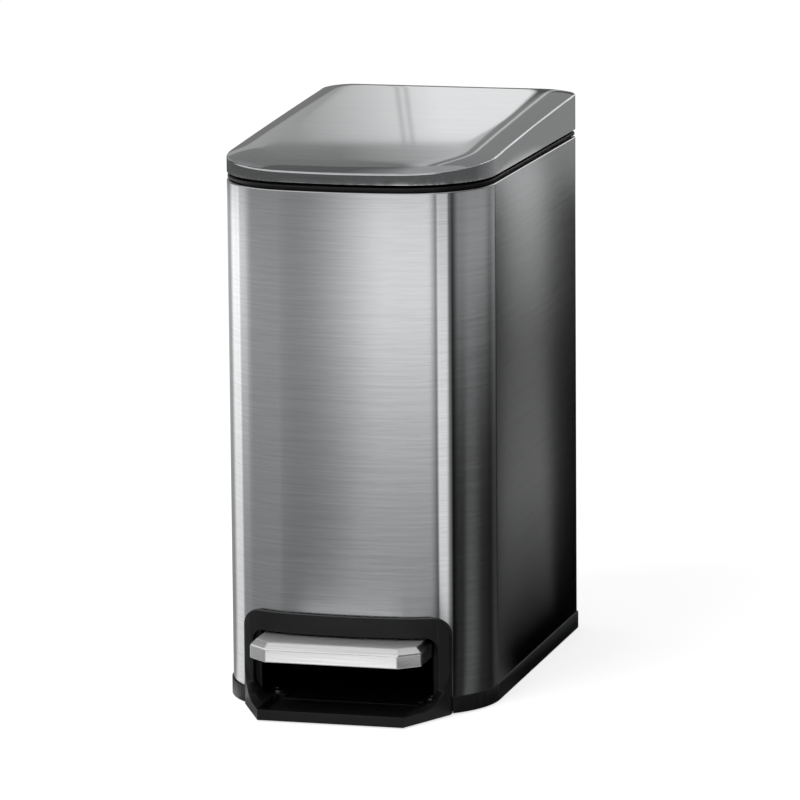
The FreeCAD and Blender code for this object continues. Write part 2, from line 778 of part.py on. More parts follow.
def build_inner_bucket():
    bucket = new_body("inner_bucket")
    lower = "bucket_inset - bucket_taper"
    foot_rear = "bucket_rear - bucket_taper"
    corner = "mouth_corner - bucket_taper"
    loft(bucket, "AdditiveLoft",
         ("bucket_bottom", plan(lower, foot_rear, corner)),
         ("ledge_top + bucket_rim", plan("bucket_inset", "bucket_rear", corner)))
    add(bucket, "XY", "ledge_top", "ledge_top + bucket_rim",
        plan("-mouth_inset - bucket_gap", "mouth_rear - bucket_gap", "mouth_corner - bucket_gap"),
        plan("bucket_inset - bucket_wall", "bucket_rear - bucket_wall", corner))
    corner += " - bucket_wall"
    loft(bucket, "SubtractiveLoft",
         ("bucket_bottom + bucket_wall",
          plan(f"{lower} - bucket_wall", f"{foot_rear} - bucket_wall", corner)),
         ("ledge_top + bucket_rim", plan("bucket_inset - bucket_wall", "bucket_rear - bucket_wall", corner)))
    grip_z = "ledge_top - grip_drop"
    half = "grip_height / 2"
    low = "bow_y - front_bow_radius + body_depth / 2 - grip_length / 2 + grip_height / 2"
    high = "bow_y - front_bow_radius + body_depth / 2 + grip_length / 2 - grip_height / 2"
    cut(bucket, "YZ", "-body_width / 2", "body_width / 2", slot(low, high, grip_z, half))


def build_mechanism_cover():
    cover = new_body("mechanism_cover")
    top = "ledge_bottom - cover_top_gap"
    rear = "cover_y + cover_wall"
    add(cover, "XY", "floor_top", top, rectangle("-cover_half", "cover_y", "cover_half", rear))
    for low, high in (("cover_half - cover_wall", "cover_half"), ("-cover_half", "-cover_half + cover_wall")):
        add(cover, "XY", "floor_top", top, rectangle(low, rear, high, f"{rear} + cover_flange"))
    add(cover, "XY", "floor_top", "floor_top + cover_wall",
        rectangle("-cover_half + cover_wall", "cover_y - cover_foot", "cover_half - cover_wall", "cover_y"))
    slot_half = "lever_tail_width / 2 + cover_slot_play"
    cut(cover, "XZ", "cover_y - cover_foot - overrun", f"{rear} + overrun",
        rectangle(f"-({slot_half})", "floor_top - overrun", slot_half,
                  "axle_z + half_stroke + lever_end_radius + cover_slot_play"))
    cut(cover, "XY", "floor_top - overrun", "floor_top + cover_wall + overrun",
        *cover_screw_places("screw_radius + seat_fit"))


def build_rod_guide():
    guide = new_body("rod_guide")
    low = "rod_offset - guide_width / 2"
    high = "rod_offset + guide_width / 2"
    add(guide, "XY", "guide_rise", "guide_rise + guide_height",
        rectangle(low, "cover_y + cover_wall", high, "rod_y + guide_width / 2"),
        Circle("rod_offset", "rod_y", "rod_radius + guide_fit"))


def build_hinge_pin():
    pin = new_body("hinge_pin")
    reach = "ear_outer + clip_side_gap + 2 * clip_wall"
    shaft = add(pin, "YZ", f"-({reach})", reach, Circle("hinge_y", "hinge_z", "hinge_pin_diameter / 2"))
    dress(pin, "Chamfer", shaft, lambda edge: edge.BoundBox.XLength < value("overrun"),
          Size="hinge_pin_diameter / 8")
    ring_clip("hinge_pin_clips", "ear_outer + clip_side_gap", "hinge_pin_diameter / 2 + seat_fit",
              "hinge_y", "hinge_z")


def build_pedal_axle():
    axle = new_body("pedal_axle")
    seat = "lever_width / 2 + post_gap + post_wall + clip_side_gap"
    reach = f"{seat} + 2 * clip_wall"
    shaft = add(axle, "YZ", f"-({reach})", reach, Circle("axle_y", "axle_z", "axle_diameter / 2"))
    dress(axle, "Chamfer", shaft, lambda edge: edge.BoundBox.XLength < value("overrun"),
          Size="axle_diameter / 8")
    ring_clip("pedal_axle_clips", seat, "axle_diameter / 2 + seat_fit", "axle_y", "axle_z")


def lid_outline(inset, run, level):
    """One outline of the lid as a wire that rises towards the rear with the lid's slope."""
    loop = plan(f"-({inset}) - ({run})", None, f"rear_corner_radius - ({inset})")
    points = [(value(corner.x), value(corner.y)) for corner in loop]
    ends = points[1:] + points[:1]
    wire = Part.Wire([edge_between(*edge).toShape() for edge in zip(points, ends, loop)])
    wire.translate(FreeCAD.Vector(0, 0, value(level)))
    shear = FreeCAD.Matrix()
    shear.A32 = value("lid_slope")
    shear.A34 = value("-lid_slope * front_y")
    return wire.transformGeometry(shear)


def lid_blank(inset, crease_round):
    """Solid lid: upright walls, a rounded crease and a crown that swells to a flat top."""
    crease = f"lid_crease - ({inset}) - {crease_round}"
    turned = f"{crease_round} * (1 - crease_cos)"
    raised = f"{crease} + {crease_round} * crease_sin"
    half_turned = f"{crease_round} * (1 - crease_half_cos)"
    half_raised = f"{crease} + {crease_round} * crease_half_sin"
    wall = [lid_outline(inset, "0", "lid_bottom - lid_rear_height"), lid_outline(inset, "0", crease)]
    crown = []
    for step in range(CROWN_STEPS + 1):
        share = step / CROWN_STEPS
        swell = 1 - (1 - share) ** 2
        crown.append(lid_outline(inset, f"{turned} + crown_run * {share}",
                                 f"{raised} + crown_drop * {swell}"))
    bands = [wall, crown]
    if crease_round != "0":
        bands.append([wall[1], lid_outline(inset, half_turned, half_raised), crown[0]])
    faces = [Part.Face(wall[0]), Part.Face(crown[-1])]
    for outlines in bands:
        faces += Part.makeLoft(outlines, False, len(outlines) == 2).Faces
    skin = Part.makeShell(faces)
    skin.sewShape()
    blank = Part.Solid(skin)
    if blank.Volume < 0:
        blank.reverse()
    return blank


def build_lid_shell():
    """Sheet lid: the outer blank less the inner one, open below and notched for the hinge."""
    below = Part.makeBox(value("2 * body_width"), value("2 * body_depth"), value("2 * lid_rear_height"),
                         FreeCAD.Vector(value("-body_width"), value("-body_depth"),
                                        value("lid_bottom - 2 * lid_rear_height")))
    notch = Part.makeBox(value("2 * ear_inner"), value("hinge_inset + overrun"),
                         value("hinge_rise + hinge_top_gap + overrun"),
                         FreeCAD.Vector(value("-ear_inner"), value("hinge_y"), value("lid_bottom - overrun")))
    lid = doc.addObject("Part::Feature", "lid_shell")
    lid.Shape = lid_blank("0", "crease_round").cut(lid_blank("lid_wall", "0")).cut(below).cut(notch)
    lid.Label = "lid_shell"
    bodies.append(lid)


def build_lid_liner():
    liner = new_body("lid_liner")
    add(liner, "XY", "liner_bottom", "liner_top",
        plan("-lid_wall - liner_fit", "liner_rear", "rear_corner_radius"))
    rib_rear = "notch_front - crank_flange_length - notch_gap"
    add(liner, "XY", "liner_top", "liner_top + liner_rib",
        plan("-mouth_inset - ledge_width", rib_rear, "mouth_corner"),
        plan("-mouth_inset - ledge_width - liner_wall", f"{rib_rear} - liner_wall",
             "mouth_corner - liner_wall"))
    ear = [
        line("hinge_y - ear_foot", "liner_bottom"),
        line("hinge_y - ear_heel", "liner_bottom"),
        arc("hinge_y + ear_radius", "hinge_z", "ear_radius"),
        arc("hinge_y", "hinge_z + ear_radius", "ear_radius"),
        line("hinge_y - ear_radius", "hinge_z"),
        line("hinge_y - ear_foot", "liner_top"),
    ]
    add(liner, "YZ", "ear_inner", "ear_outer", ear)
    add(liner, "YZ", "-ear_outer", "-ear_inner", ear)
    cut(liner, "XY", "liner_bottom - overrun", "liner_top + overrun",
        rectangle("notch_left", "notch_front", "notch_right", "liner_rear + overrun"))
    cut(liner, "YZ", "-ear_outer - overrun", "ear_outer + overrun",
        Circle("hinge_y", "hinge_z", "hinge_pin_diameter / 2 + running_fit"))
    cut(liner, "XY", "liner_bottom - overrun", "liner_top + overrun",
        *crank_screw_places("screw_radius + seat_fit"))


def crank_screw_places(radius):
    x = "(crank_flange_width + crank_width) / 4"
    y = "notch_front - crank_flange_length / 2"
    return [Circle(f"-{x}", y, radius), Circle(x, y, radius)]


def build_crank_screws():
    screws = new_body("crank_screws")
    head = "liner_top + crank_flange_wall"
    add(screws, "XY", "liner_bottom", head, *crank_screw_places("screw_radius"))
    add(screws, "XY", head, f"{head} + screw_head_height", *crank_screw_places("crank_screw_head_radius"))


def on_crank(along, across):
    """Point of the crank given by its distance from the hinge and its distance off the arm's line."""
    return (f"hinge_y - ({along}) * crank_cos + ({across}) * crank_sin",
            f"hinge_z - ({along}) * crank_sin - ({across}) * crank_cos")


def build_lid_crank():
    crank = new_body("lid_crank")
    end_radius = "(crank_slot_half + crank_wall)"
    add(crank, "YZ", "-crank_width / 2", "crank_width / 2", [
        line(*on_crank("0", "-ear_radius")),
        arc(*on_crank("crank_slot_far", f"-{end_radius}"), end_radius),
        arc(*on_crank(f"crank_slot_far + {end_radius}", "0"), end_radius),
        line(*on_crank("crank_slot_far", end_radius)),
        arc(*on_crank("0", "ear_radius"), "ear_radius"),
        arc(*on_crank("-ear_radius", "0"), "ear_radius"),
    ])
    half = "crank_flange_width / 2"
    flange_front = "notch_front - crank_flange_length"
    add(crank, "XY", "liner_top", "liner_top + crank_flange_wall",
        rectangle(f"-({half})", flange_front, half, "notch_front"))
    add(crank, "YZ", "-crank_width / 2", "crank_width / 2", [
        line(flange_front, "liner_top"),
        line("rod_y", "liner_top"),
        line(*on_crank("crank_reach / 2", "0")),
        line(*on_crank("crank_reach / 2", "-ear_radius")),
    ])
    cut(crank, "YZ", "-crank_width / 2 - overrun", "crank_width / 2 + overrun",
        Circle("hinge_y", "hinge_z", "hinge_pin_diameter / 2 + running_fit"))
    cut(crank, "YZ", "-crank_width / 2 - overrun", "crank_width / 2 + overrun", [
        line(*on_crank("crank_slot_near", "-crank_slot_half")),
        arc(*on_crank("crank_slot_far", "-crank_slot_half"), "crank_slot_half"),
        arc(*on_crank("crank_slot_far + crank_slot_half", "0"), "crank_slot_half"),
        line(*on_crank("crank_slot_far", "crank_slot_half")),
        arc(*on_crank("crank_slot_near", "crank_slot_half"), "crank_slot_half"),
        arc(*on_crank("crank_slot_near - crank_slot_half", "0"), "crank_slot_half"),
    ])
    cut(crank, "XY", "liner_top - overrun", "liner_top + crank_flange_wall + overrun",
        *crank_screw_places("screw_radius + seat_fit"))


def build_lid_bumpers():
    bumpers = new_body("lid_bumpers")
    x = "body_width / 2 - bumper_inset"
    places = []
    for y in ("front_y + bumper_front", "front_y + bumper_front + bumper_pitch"):
        places += [Circle(f"-({x})", y, "bumper_radius"), Circle(x, y, "bumper_radius")]
    add(bumpers, "XY", "ring_top + bumper_gap", "liner_bottom", *places)


def build_push_rod():
    rod = new_body("push_rod")
    end = "-crank_width / 2 - rod_overhang"
    path = new_sketch(rod, "XZ", "rod_y", [
        line(end, "rod_top_z"),
        back_arc("rod_offset - rod_bend", "rod_top_z", "rod_bend"),
        line("rod_offset", "rod_top_z - rod_bend"),
        back_arc("rod_offset", "rod_bottom_z + rod_bend", "rod_bend"),
        line("rod_offset - rod_bend", "rod_bottom_z"),
        line(end, "rod_bottom_z"),
    ], closed=False)
    section = new_sketch(rod, "YZ", end, Circle("rod_y", "rod_top_z", "rod_radius"))
    wire = rod.newObject("PartDesign::AdditivePipe", "push_rod_pipe")
    wire.Profile = section
    wire.Spine = path
    doc.recompute()


def build_rod_clips():
    clips = new_body("rod_clips")
    high = "-crank_width / 2 - clip_side_gap"
    for z, width in (("rod_top_z", "crank_slot_half + clip_width"),
                     ("rod_bottom_z", "rod_radius + 2 * clip_width")):
        add(clips, "YZ", f"{high} - clip_wall", high, Circle("rod_y", z, width),
            Circle("rod_y", z, "rod_radius + seat_fit"))


def build_pedal_lever():
    lever = new_body("pedal_lever")
    half = "lever_width / 2"
    front = "toe_y + cap_bevel + cap_wall + cap_fit"
    knee = "front_y + lever_knee"
    plate_low = "lever_top - lever_plate"
    rear = "axle_y + lever_bridge"
    add(lever, "YZ", f"-({half})", half, [
        line(front, plate_low),
        line("front_y", plate_low),
        line(knee, "lever_top - 2 * lever_half_depth - lever_plate"),
        line("axle_y", "axle_z - lever_half_depth"),
        line(rear, "axle_z - lever_half_depth"),
        line(rear, "axle_z + lever_half_depth"),
        line("axle_y", "axle_z + lever_half_depth"),
        line(knee, "lever_top"),
        line(front, "lever_top"),
    ])
    inner = "lever_width / 2 - lever_arm_width"
    cut(lever, "XY", "0", "cap_top", rectangle(f"-({inner})", knee, inner, "axle_y - lever_half_depth"))
    cut(lever, "XY", "0", "axle_z + lever_half_depth - lever_plate",
        rectangle(f"-({inner})", "axle_y - lever_half_depth - overrun",
                  "-lever_tail_width / 2", f"{rear} - lever_plate"),
        rectangle("lever_tail_width / 2", "axle_y - lever_half_depth - overrun",
                  inner, f"{rear} - lever_plate"))
    end = "lever_end_radius"
    add(lever, "YZ", "-lever_tail_width / 2", "lever_tail_width / 2", [
        line(rear, "axle_z - lever_half_depth"),
        line(f"rod_y - {end}", f"rod_bottom_z - {end}"),
        arc("rod_y", f"rod_bottom_z - {end}", end),
        arc(f"rod_y + {end}", "rod_bottom_z", end),
        line("rod_y", f"rod_bottom_z + {end}"),
        line(f"rod_y - {end}", f"rod_bottom_z + {end}"),
        line(rear, "axle_z + lever_half_depth"),
    ])
    cut(lever, "YZ", f"-({half}) - overrun", f"{half} + overrun",
        Circle("axle_y", "axle_z", "axle_diameter / 2 + running_fit"))
    cut(lever, "YZ", "-lever_tail_width / 2 - overrun", "lever_tail_width / 2 + overrun",
        slot("rod_y - lever_slot_run", "rod_y", "rod_bottom_z", "(rod_radius + lever_slot_play)"))


def build_pedal_cap():
    cap = new_body("pedal_cap")
    tread = add(cap, "XY", "cap_bottom", "cap_top", cap_outline("0"))
    dress(cap, "Chamfer", tread, lambda edge: edge_at(edge, ZMin="cap_top", ZMax="cap_top")
          and not edge_at(edge, YMin="cap_rear"), Size="cap_bevel")
    doc.recompute()
    cut(cap, "XY", "cap_bottom", "cap_top - cap_bevel", cap_outline("cap_wall"))
    cut(cap, "XY", "cap_bottom", "cap_top - cap_wall", cap_outline("cap_bevel + cap_wall / 2"))


def build_damper():
    x = "-damper_offset"
    bracket = new_body("damper_bracket")
    half = "bracket_width / 2"
    add(bracket, "XY", "floor_top", "bracket_top",
        rectangle(f"{x} - {half}", f"rod_y - {half}", f"{x} + {half}", f"rod_y + {half}"))
    cut(bracket, "XY", "cylinder_bottom", "bracket_top", Circle(x, "rod_y", "damper_radius + seat_fit"))
    cylinder = new_body("damper_cylinder")
    bore = "damper_radius - damper_wall"
    add(cylinder, "XY", "cylinder_bottom", "cylinder_top", Circle(x, "rod_y", "damper_radius"))
    cut(cylinder, "XY", "cylinder_bottom + damper_end", "cylinder_top - damper_end", Circle(x, "rod_y", bore))
    cut(cylinder, "XY", "cylinder_top - damper_end", "cylinder_top",
        Circle(x, "rod_y", "piston_rod_radius + running_fit"))
    piston = new_body("damper_piston")
    add(piston, "XY", "piston_bottom", "piston_bottom + piston_length",
        Circle(x, "rod_y", f"{bore} - running_fit"))
    add(piston, "XY", "piston_bottom + piston_length", "link_top", Circle(x, "rod_y", "piston_rod_radius"))
    link = new_body("damper_link")
    end = "link_width / 2"
    add(link, "XY", "link_bottom", "link_top",
        slot(x, "rod_offset", "rod_y", end),
        Circle(x, "rod_y", "piston_rod_radius + seat_fit"),
        Circle("rod_offset", "rod_y", "rod_radius + seat_fit"))


def check_document():
    doc.recompute()
    for item in doc.Objects:
        if "Invalid" in item.State or "Error" in item.State:
            raise RuntimeError(f"{item.Label}: {item.State}")
    for body in bodies:
        if body.Shape.isNull() or not body.Shape.isValid():
            raise RuntimeError(body.Label + ": no valid shape")


def write_parts():
    os.makedirs("parts", exist_ok=True)
    for body in bodies:
        body.Shape.exportStep("parts/%s.step" % body.Label)
        print("%-18s solids %2d  volume %10.1f" % (body.Label, len(body.Shape.Solids), body.Shape.Volume))


for build in (
    build_outer_shell, build_base_tray, build_rubber_feet, build_pedal_surround, build_screws,
    build_top_collar, build_inner_bucket, build_mechanism_cover, build_rod_guide, build_hinge_pin,
    build_pedal_axle, build_lid_shell, build_lid_liner, build_lid_crank, build_crank_screws,
    build_lid_bumpers, build_push_rod, build_rod_clips, build_pedal_lever, build_pedal_cap, build_damper,
):
    build()
check_document()
write_parts()
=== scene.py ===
"""Looks of a slim soft-close pedal bin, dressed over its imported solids. Lengths are in metres."""

import json
import math

import bmesh
import bpy
from bpy.props import FloatProperty, FloatVectorProperty, PointerProperty
from mathutils import Matrix, Vector
from mathutils.kdtree import KDTree

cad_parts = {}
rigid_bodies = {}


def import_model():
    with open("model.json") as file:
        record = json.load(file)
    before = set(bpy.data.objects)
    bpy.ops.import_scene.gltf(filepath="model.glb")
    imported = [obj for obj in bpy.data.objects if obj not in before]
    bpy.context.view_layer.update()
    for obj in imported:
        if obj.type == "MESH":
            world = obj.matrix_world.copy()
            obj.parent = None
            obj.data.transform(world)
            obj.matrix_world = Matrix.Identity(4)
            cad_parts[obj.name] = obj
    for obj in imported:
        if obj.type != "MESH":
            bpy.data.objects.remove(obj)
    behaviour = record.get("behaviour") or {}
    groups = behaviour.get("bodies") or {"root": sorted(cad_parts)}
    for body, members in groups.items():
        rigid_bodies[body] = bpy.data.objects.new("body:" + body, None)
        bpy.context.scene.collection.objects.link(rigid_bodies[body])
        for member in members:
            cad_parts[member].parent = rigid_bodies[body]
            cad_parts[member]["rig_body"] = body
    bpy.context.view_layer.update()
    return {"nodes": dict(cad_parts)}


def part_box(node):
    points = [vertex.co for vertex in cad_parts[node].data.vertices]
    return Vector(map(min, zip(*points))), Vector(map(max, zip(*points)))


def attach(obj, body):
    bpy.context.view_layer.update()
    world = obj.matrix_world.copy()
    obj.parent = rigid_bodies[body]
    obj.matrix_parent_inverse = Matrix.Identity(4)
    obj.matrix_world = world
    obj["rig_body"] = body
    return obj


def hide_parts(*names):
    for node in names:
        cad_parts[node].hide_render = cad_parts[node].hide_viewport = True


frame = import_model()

bl_info = {
    "name": "Slim Pedal Bin",
    "version": (1, 0, 0),
    "blender": (4, 5, 0),
    "location": "3D View > Sidebar > Pedal Bin",
    "description": "Dresses the solids of a slim pedal bin in brushed steel, moulded plastic and rubber",
    "category": "Object",
}

# Distances under which points are one point, and under which a point counts as lying on a level
MERGE_DISTANCE = 1e-6
PICK_DISTANCE = 1e-5
# Least upward part of a normal that belongs to the lid's top
TOP_FACING = 0.88
# Angles in degrees over which an edge is shown sharp
CREASE = 28
TREAD_CREASE = 60
SCREW_CREASE = 35
# How much rougher the tread's top is than its bevels, and the height over which it changes
SATIN_ROUGHNESS = 0.32
SATIN_STEP = 0.0004
# Place of the soft light above the front, and the point it looks at
KEY_SPOT = (-0.7, -1.3, 1.7)
KEY_AIM = (0, 0, 0.12)
FLOOR_GLOW = 0.72
CARD_LIFT = 0.0004

# Lights of the studio surround: the bearings where each starts and ends, in degrees from the front towards
# the right, each with its softness, then its level near the object and far off, and how late it rises
SURROUND_LIGHTS = {
    "left strip": (-128, 16, -104, 7, 0.70, 1.35, 1.3),
    "left flare": (-106, 7, -86, 20, 0.05, 0.85, 1.3),
    "left rear card": (-177, 6, -128, 16, 0.30, 0.60, 1.0),
    "left card": (-128, 16, -22, 30, 0.30, 0.63, 1.3),
    "front panel": (-15, 32, 46, 18, 0.40, 2.30, 1.8),
    "right strip": (50, 4, 64.5, 4, 1.00, 1.35, 1.0),
    "right fill": (64.5, 4, 69, 4, 0.28, 0.20, 1.0),
    "right gleam": (91, 12, 112, 24, 0.09, 0.06, 1.0),
    "right haze": (75, 12, 138, 40, 0.03, 1.00, 3.6),
    "right edge": (146, 16, 161, 8, 0.05, 0.50, 3.0),
    "right rear card": (175, 5, 200, 5, 0.28, 0.55, 1.0),
}
# Where the bin's front corners turn, from which those bearings and distances are taken
CORNER_LEFT = -0.045
CORNER_RIGHT = 0.05
CORNER_Y = -0.09
# Distances at which a light has its near and its far level, and where the floor ends in the dusk
REACH = (0.25, 1.85)
HORIZON = (1.84, 1.92)
# Spans of smaller lights and cards: start, softness there, end and softness there
TREAD_GLOW_X = (-0.11, 0.04, 0.03, 0.04)
TREAD_GLOW_Y = (-0.31, 0.03, -0.2, 0.03)
TREAD_GLOW = 0.66
TREAD_CARD_X = (0.10, 0.03, 0.25, 0.03)
TREAD_CARD_Y = (-0.26, 0.03, -0.13, 0.03)
TREAD_CARD_SHADE = 0.75
FRONT_WALL = (-110, 20, 50, 20)
DUSK = (-150, 6, 172, 4)
SIDE_PANEL = (-0.066, 0.01, 0.07, 0.012)
SIDE_DIM = (0.07, 0.012, 0.13, 0.06)
BACK_PANEL_X = (-1.2, 0.1, -0.50, 0.03)
BACK_PANEL_FOOT = (0.66, 0.08)
BACK_PANEL_EDGE = 0.012
BACK_SEAMS = ((-0.640, 0.002, -0.636, 0.002), (-0.632, 0.002, -0.628, 0.002))
BACK_GLEAM = (-0.43, 0.02, -0.39, 0.02)
RIM_LIGHT = (0.1, 0.1, 0.9, 0.2)
# Right wall: its plane, and how far along a reflected ray runs for each metre away from it
SIDE_X = 0.072
SIDE_SLANT = 4.01


def solid_colour(name, description, default):
    return FloatVectorProperty(name=name, description=description, subtype="COLOR", size=3,
                               min=0, max=1, default=default)


def length(name, description, default):
    return FloatProperty(name=name, description=description, default=default, min=0,
                         unit="LENGTH", precision=4)


def level(name, description, default, top=1):
    return FloatProperty(name=name, description=description, default=default, min=0, max=top)


class BinShapeSettings(bpy.types.PropertyGroup):
    """Small forms that the looks add to the solids"""

    lid_camber: length("Lid camber", "How far the lid's top swells over its straight slope", 0.0006)
    camber_end: length("Camber end", "Distance from the lid's rear edge to the end of the camber", 0.018)
    easing_reach: length("Easing reach", "Distance over which the lid's top normals are evened out", 0.008)
    camber_pitch: length("Camber pitch", "Spacing of the cuts that let the lid's top bend", 0.005)
    tread_edge: length("Tread edge", "Width of the rounded edges of the pedal's tread", 0.0013)
    moulding_edge: length("Moulding edge", "Radius of the softened edges of plastic mouldings", 0.0008)
    recess_width: length("Recess width", "Width of the cross recess in a screw head", 0.0009)


class BinFinishSettings(bpy.types.PropertyGroup):
    """Colours and textures of the finishes"""

    body_tint: solid_colour("Body tint", "Brushed steel of the body", (0.60, 0.61, 0.62))
    lid_tint: solid_colour("Lid tint", "Brushed steel of the lid", (0.60, 0.61, 0.62))
    tread_tint: solid_colour("Tread tint", "Satin steel of the pedal's tread", (0.92, 0.92, 0.93))
    plastic_tint: solid_colour("Plastic tint", "Black plastic of base, surround and collar",
                               (0.008, 0.008, 0.009))
    bucket_tint: solid_colour("Bucket tint", "Plastic of the lift-out bucket", (0.050, 0.050, 0.055))
    nylon_tint: solid_colour("Nylon tint", "Natural nylon of the rod guide", (0.75, 0.74, 0.70))
    damper_tint: solid_colour("Damper tint", "Grey plastic of the damper", (0.20, 0.21, 0.22))
    coating_tint: solid_colour("Coating tint", "Black coating of lever and crank", (0.030, 0.030, 0.032))
    zinc_tint: solid_colour("Zinc tint", "Zinc plating of rod, pins, clips and screws", (0.55, 0.56, 0.58))
    rubber_tint: solid_colour("Rubber tint", "Rubber of feet and bumpers", (0.030, 0.030, 0.030))
    brush_pitch: length("Brush pitch", "Mean spacing of the brush lines on steel", 0.0011)
    grain_pitch: length("Grain pitch", "Mean spacing of the grain on moulded plastic", 0.0007)


class BinStageSettings(bpy.types.PropertyGroup):
    """Floor, lights and camera"""

    floor_size: length("Floor size", "Width of the floor", 12.0)
    surround_radius: length("Surround radius", "Distance of the studio surround", 2.4)
    surround_height: length("Surround height", "Height of the studio surround", 2.4)
    panel_top: length("Panel top", "Height of the upper edge of the panel that the lid reflects", 0.95)
    ambient: level("Ambient", "Level of the world's light on matt surfaces", 0.6)
    key_power: FloatProperty(name="Key power", description="Power of the soft light above the front",
                             default=26.0, min=0, unit="POWER")
    key_size: length("Key size", "Width of the soft light above the front", 1.2)
    camera_spot: FloatVectorProperty(name="Camera spot", description="Where the camera stands",
                                     subtype="TRANSLATION", size=3, default=(0.8068, -2.94775, 0.7136))
    aim_spot: FloatVectorProperty(name="Aim spot", description="Point that the camera looks at",
                                  subtype="TRANSLATION", size=3, default=(0.0074, -0.01385, 0.1499))
    camera_roll: FloatProperty(name="Camera roll", description="Turn of the camera about its own axis",
                               default=math.radians(-0.5), subtype="ANGLE")
    lens: FloatProperty(name="Lens", description="Focal length of the camera", default=263.1,
                        unit="CAMERA")


class Wire:
    """A socket whose sums and products become Math nodes"""

    def __init__(self, shade, socket):
        self.shade = shade
        self.socket = socket

    def maths(self, operation, *values):
        return self.shade.node("ShaderNodeMath", {"operation": operation}, dict(enumerate(values)))

    def __add__(self, other):
        return self.maths("ADD", self, other)

    def __radd__(self, other):
        return self.maths("ADD", other, self)

    def __sub__(self, other):
        return self.maths("SUBTRACT", self, other)

    def __rsub__(self, other):
        return self.maths("SUBTRACT", other, self)

    def __mul__(self, other):
        return self.maths("MULTIPLY", self, other)

    def __rmul__(self, other):
        return self.maths("MULTIPLY", other, self)

    def __pow__(self, other):
        return self.maths("POWER", self, other)

    def or_more(self, other):
        return self.maths("MAXIMUM", self, other)

    def or_less(self, other):
        return self.maths("MINIMUM", self, other)


class Shade:
    """The node tree of one finish, and the method that adds any node to it"""

    def __init__(self, tree):
        self.tree = tree
        tree.nodes.clear()

    def node(self, kind, settings=None, sockets=None, output=0):
        made = self.tree.nodes.new(kind)
        for key, setting in (settings or {}).items():
            setattr(made, key, setting)
        for key, item in (sockets or {}).items():
            if isinstance(item, Wire):
                self.tree.links.new(item.socket, made.inputs[key])
            else:
                made.inputs[key].default_value = item
        return Wire(self, made.outputs[output]) if made.outputs else None

    def spot(self):
        return self.node("ShaderNodeTexCoord", output="Object")

    def spot_axes(self):
        """The wires of a place's x, y and z."""
        parts = self.node("ShaderNodeSeparateXYZ", None, {0: self.spot()}).socket.node
        return [Wire(self, output) for output in parts.outputs]

    def noise(self, scale, detail=3.0, roughness=0.5):
        """Noise stretched by a scale for each axis, from 0 to 1."""
        place = self.node("ShaderNodeMapping", None, {"Vector": self.spot(), "Scale": scale})
        return self.node("ShaderNodeTexNoise", None,
                         {"Vector": place, "Scale": 1.0, "Detail": detail, "Roughness": roughness})

    def remap(self, wire, low, high, to_low=0.0, to_high=1.0, smooth=False):
        return self.node("ShaderNodeMapRange",
                         {"interpolation_type": "SMOOTHSTEP" if smooth else "LINEAR"},
                         {0: wire, 1: low, 2: high, 3: to_low, 4: to_high})

    def blend(self, share, first, second):
        return self.node("ShaderNodeMix", {"data_type": "RGBA"}, {0: share, 6: first, 7: second}, output=2)

    def bump(self, height, distance, normal=None):
        sockets = {"Height": height, "Distance": distance, "Strength": 1.0}
        if normal:
            sockets["Normal"] = normal
        return self.node("ShaderNodeBump", None, sockets)

    def soft_edge(self, radius):
        return self.node("ShaderNodeBevel", {"samples": 6}, {"Radius": radius})

    def surface(self, shader):
        self.node("ShaderNodeOutputMaterial", None, {"Surface": shader})


def new_finish(name):
    material = bpy.data.materials.new(name)
    material.use_nodes = True
    return material, Shade(material.node_tree)


def tone(tint, share):
    return [min(1.0, part * share) for part in tint] + [1.0]


def brushed_steel(name, tint, stretch, roughness, swing, anisotropy=0.0, bump=2e-6, satin_above=None):
    """Steel with fine lines, drawn out along the axes whose stretch is small."""
    material, shade = new_finish(name)
    lines = shade.noise(stretch, detail=4.0, roughness=0.65)
    fine = shade.noise([part * 3.1 for part in stretch], detail=2.0)
    handling = shade.noise((9, 9, 9), detail=4.0)
    grain = lines * 0.65 + fine * 0.35
    colour = shade.blend(shade.remap(grain, 0.3, 0.7), tone(tint, 0.86), tone(tint, 1.09))
    rough = roughness + (grain - 0.5) * swing + (handling - 0.5) * (swing / 2)
    if satin_above:
        height = shade.spot_axes()[2]
        rough = rough + shade.remap(height, satin_above - SATIN_STEP, satin_above, 0.0, SATIN_ROUGHNESS)
    shade.surface(shade.node("ShaderNodeBsdfPrincipled", None, {
        "Base Color": colour,
        "Metallic": 1.0,
        "Roughness": rough,
        "Anisotropic": anisotropy,
        "Anisotropic Rotation": 0.25,
        "Normal": shade.bump(grain, bump),
    }))
    return material


def moulded_plastic(name, tint, roughness, pitch, depth, edge=0.0, specular=0.5):
    """Plastic with a fine moulded grain, faint flow marks and softened edges."""
    material, shade = new_finish(name)
    grain = shade.noise([1 / pitch] * 3, detail=2.0)
    flow = shade.noise((14, 14, 40), detail=5.0, roughness=0.6)
    wear = shade.noise((160, 160, 160), detail=2.0)
    mottle = flow * 0.6 + wear * 0.4
    colour = shade.blend(shade.remap(mottle, 0.3, 0.7), tone(tint, 0.82), tone(tint, 1.2))
    rough = roughness + (flow - 0.5) * 0.12 + (grain - 0.5) * 0.08
    normal = shade.bump(grain, depth, shade.soft_edge(edge) if edge else None)
    shade.surface(shade.node("ShaderNodeBsdfPrincipled", None, {
        "Base Color": colour, "Roughness": rough, "Specular IOR Level": specular, "Normal": normal}))
    return material


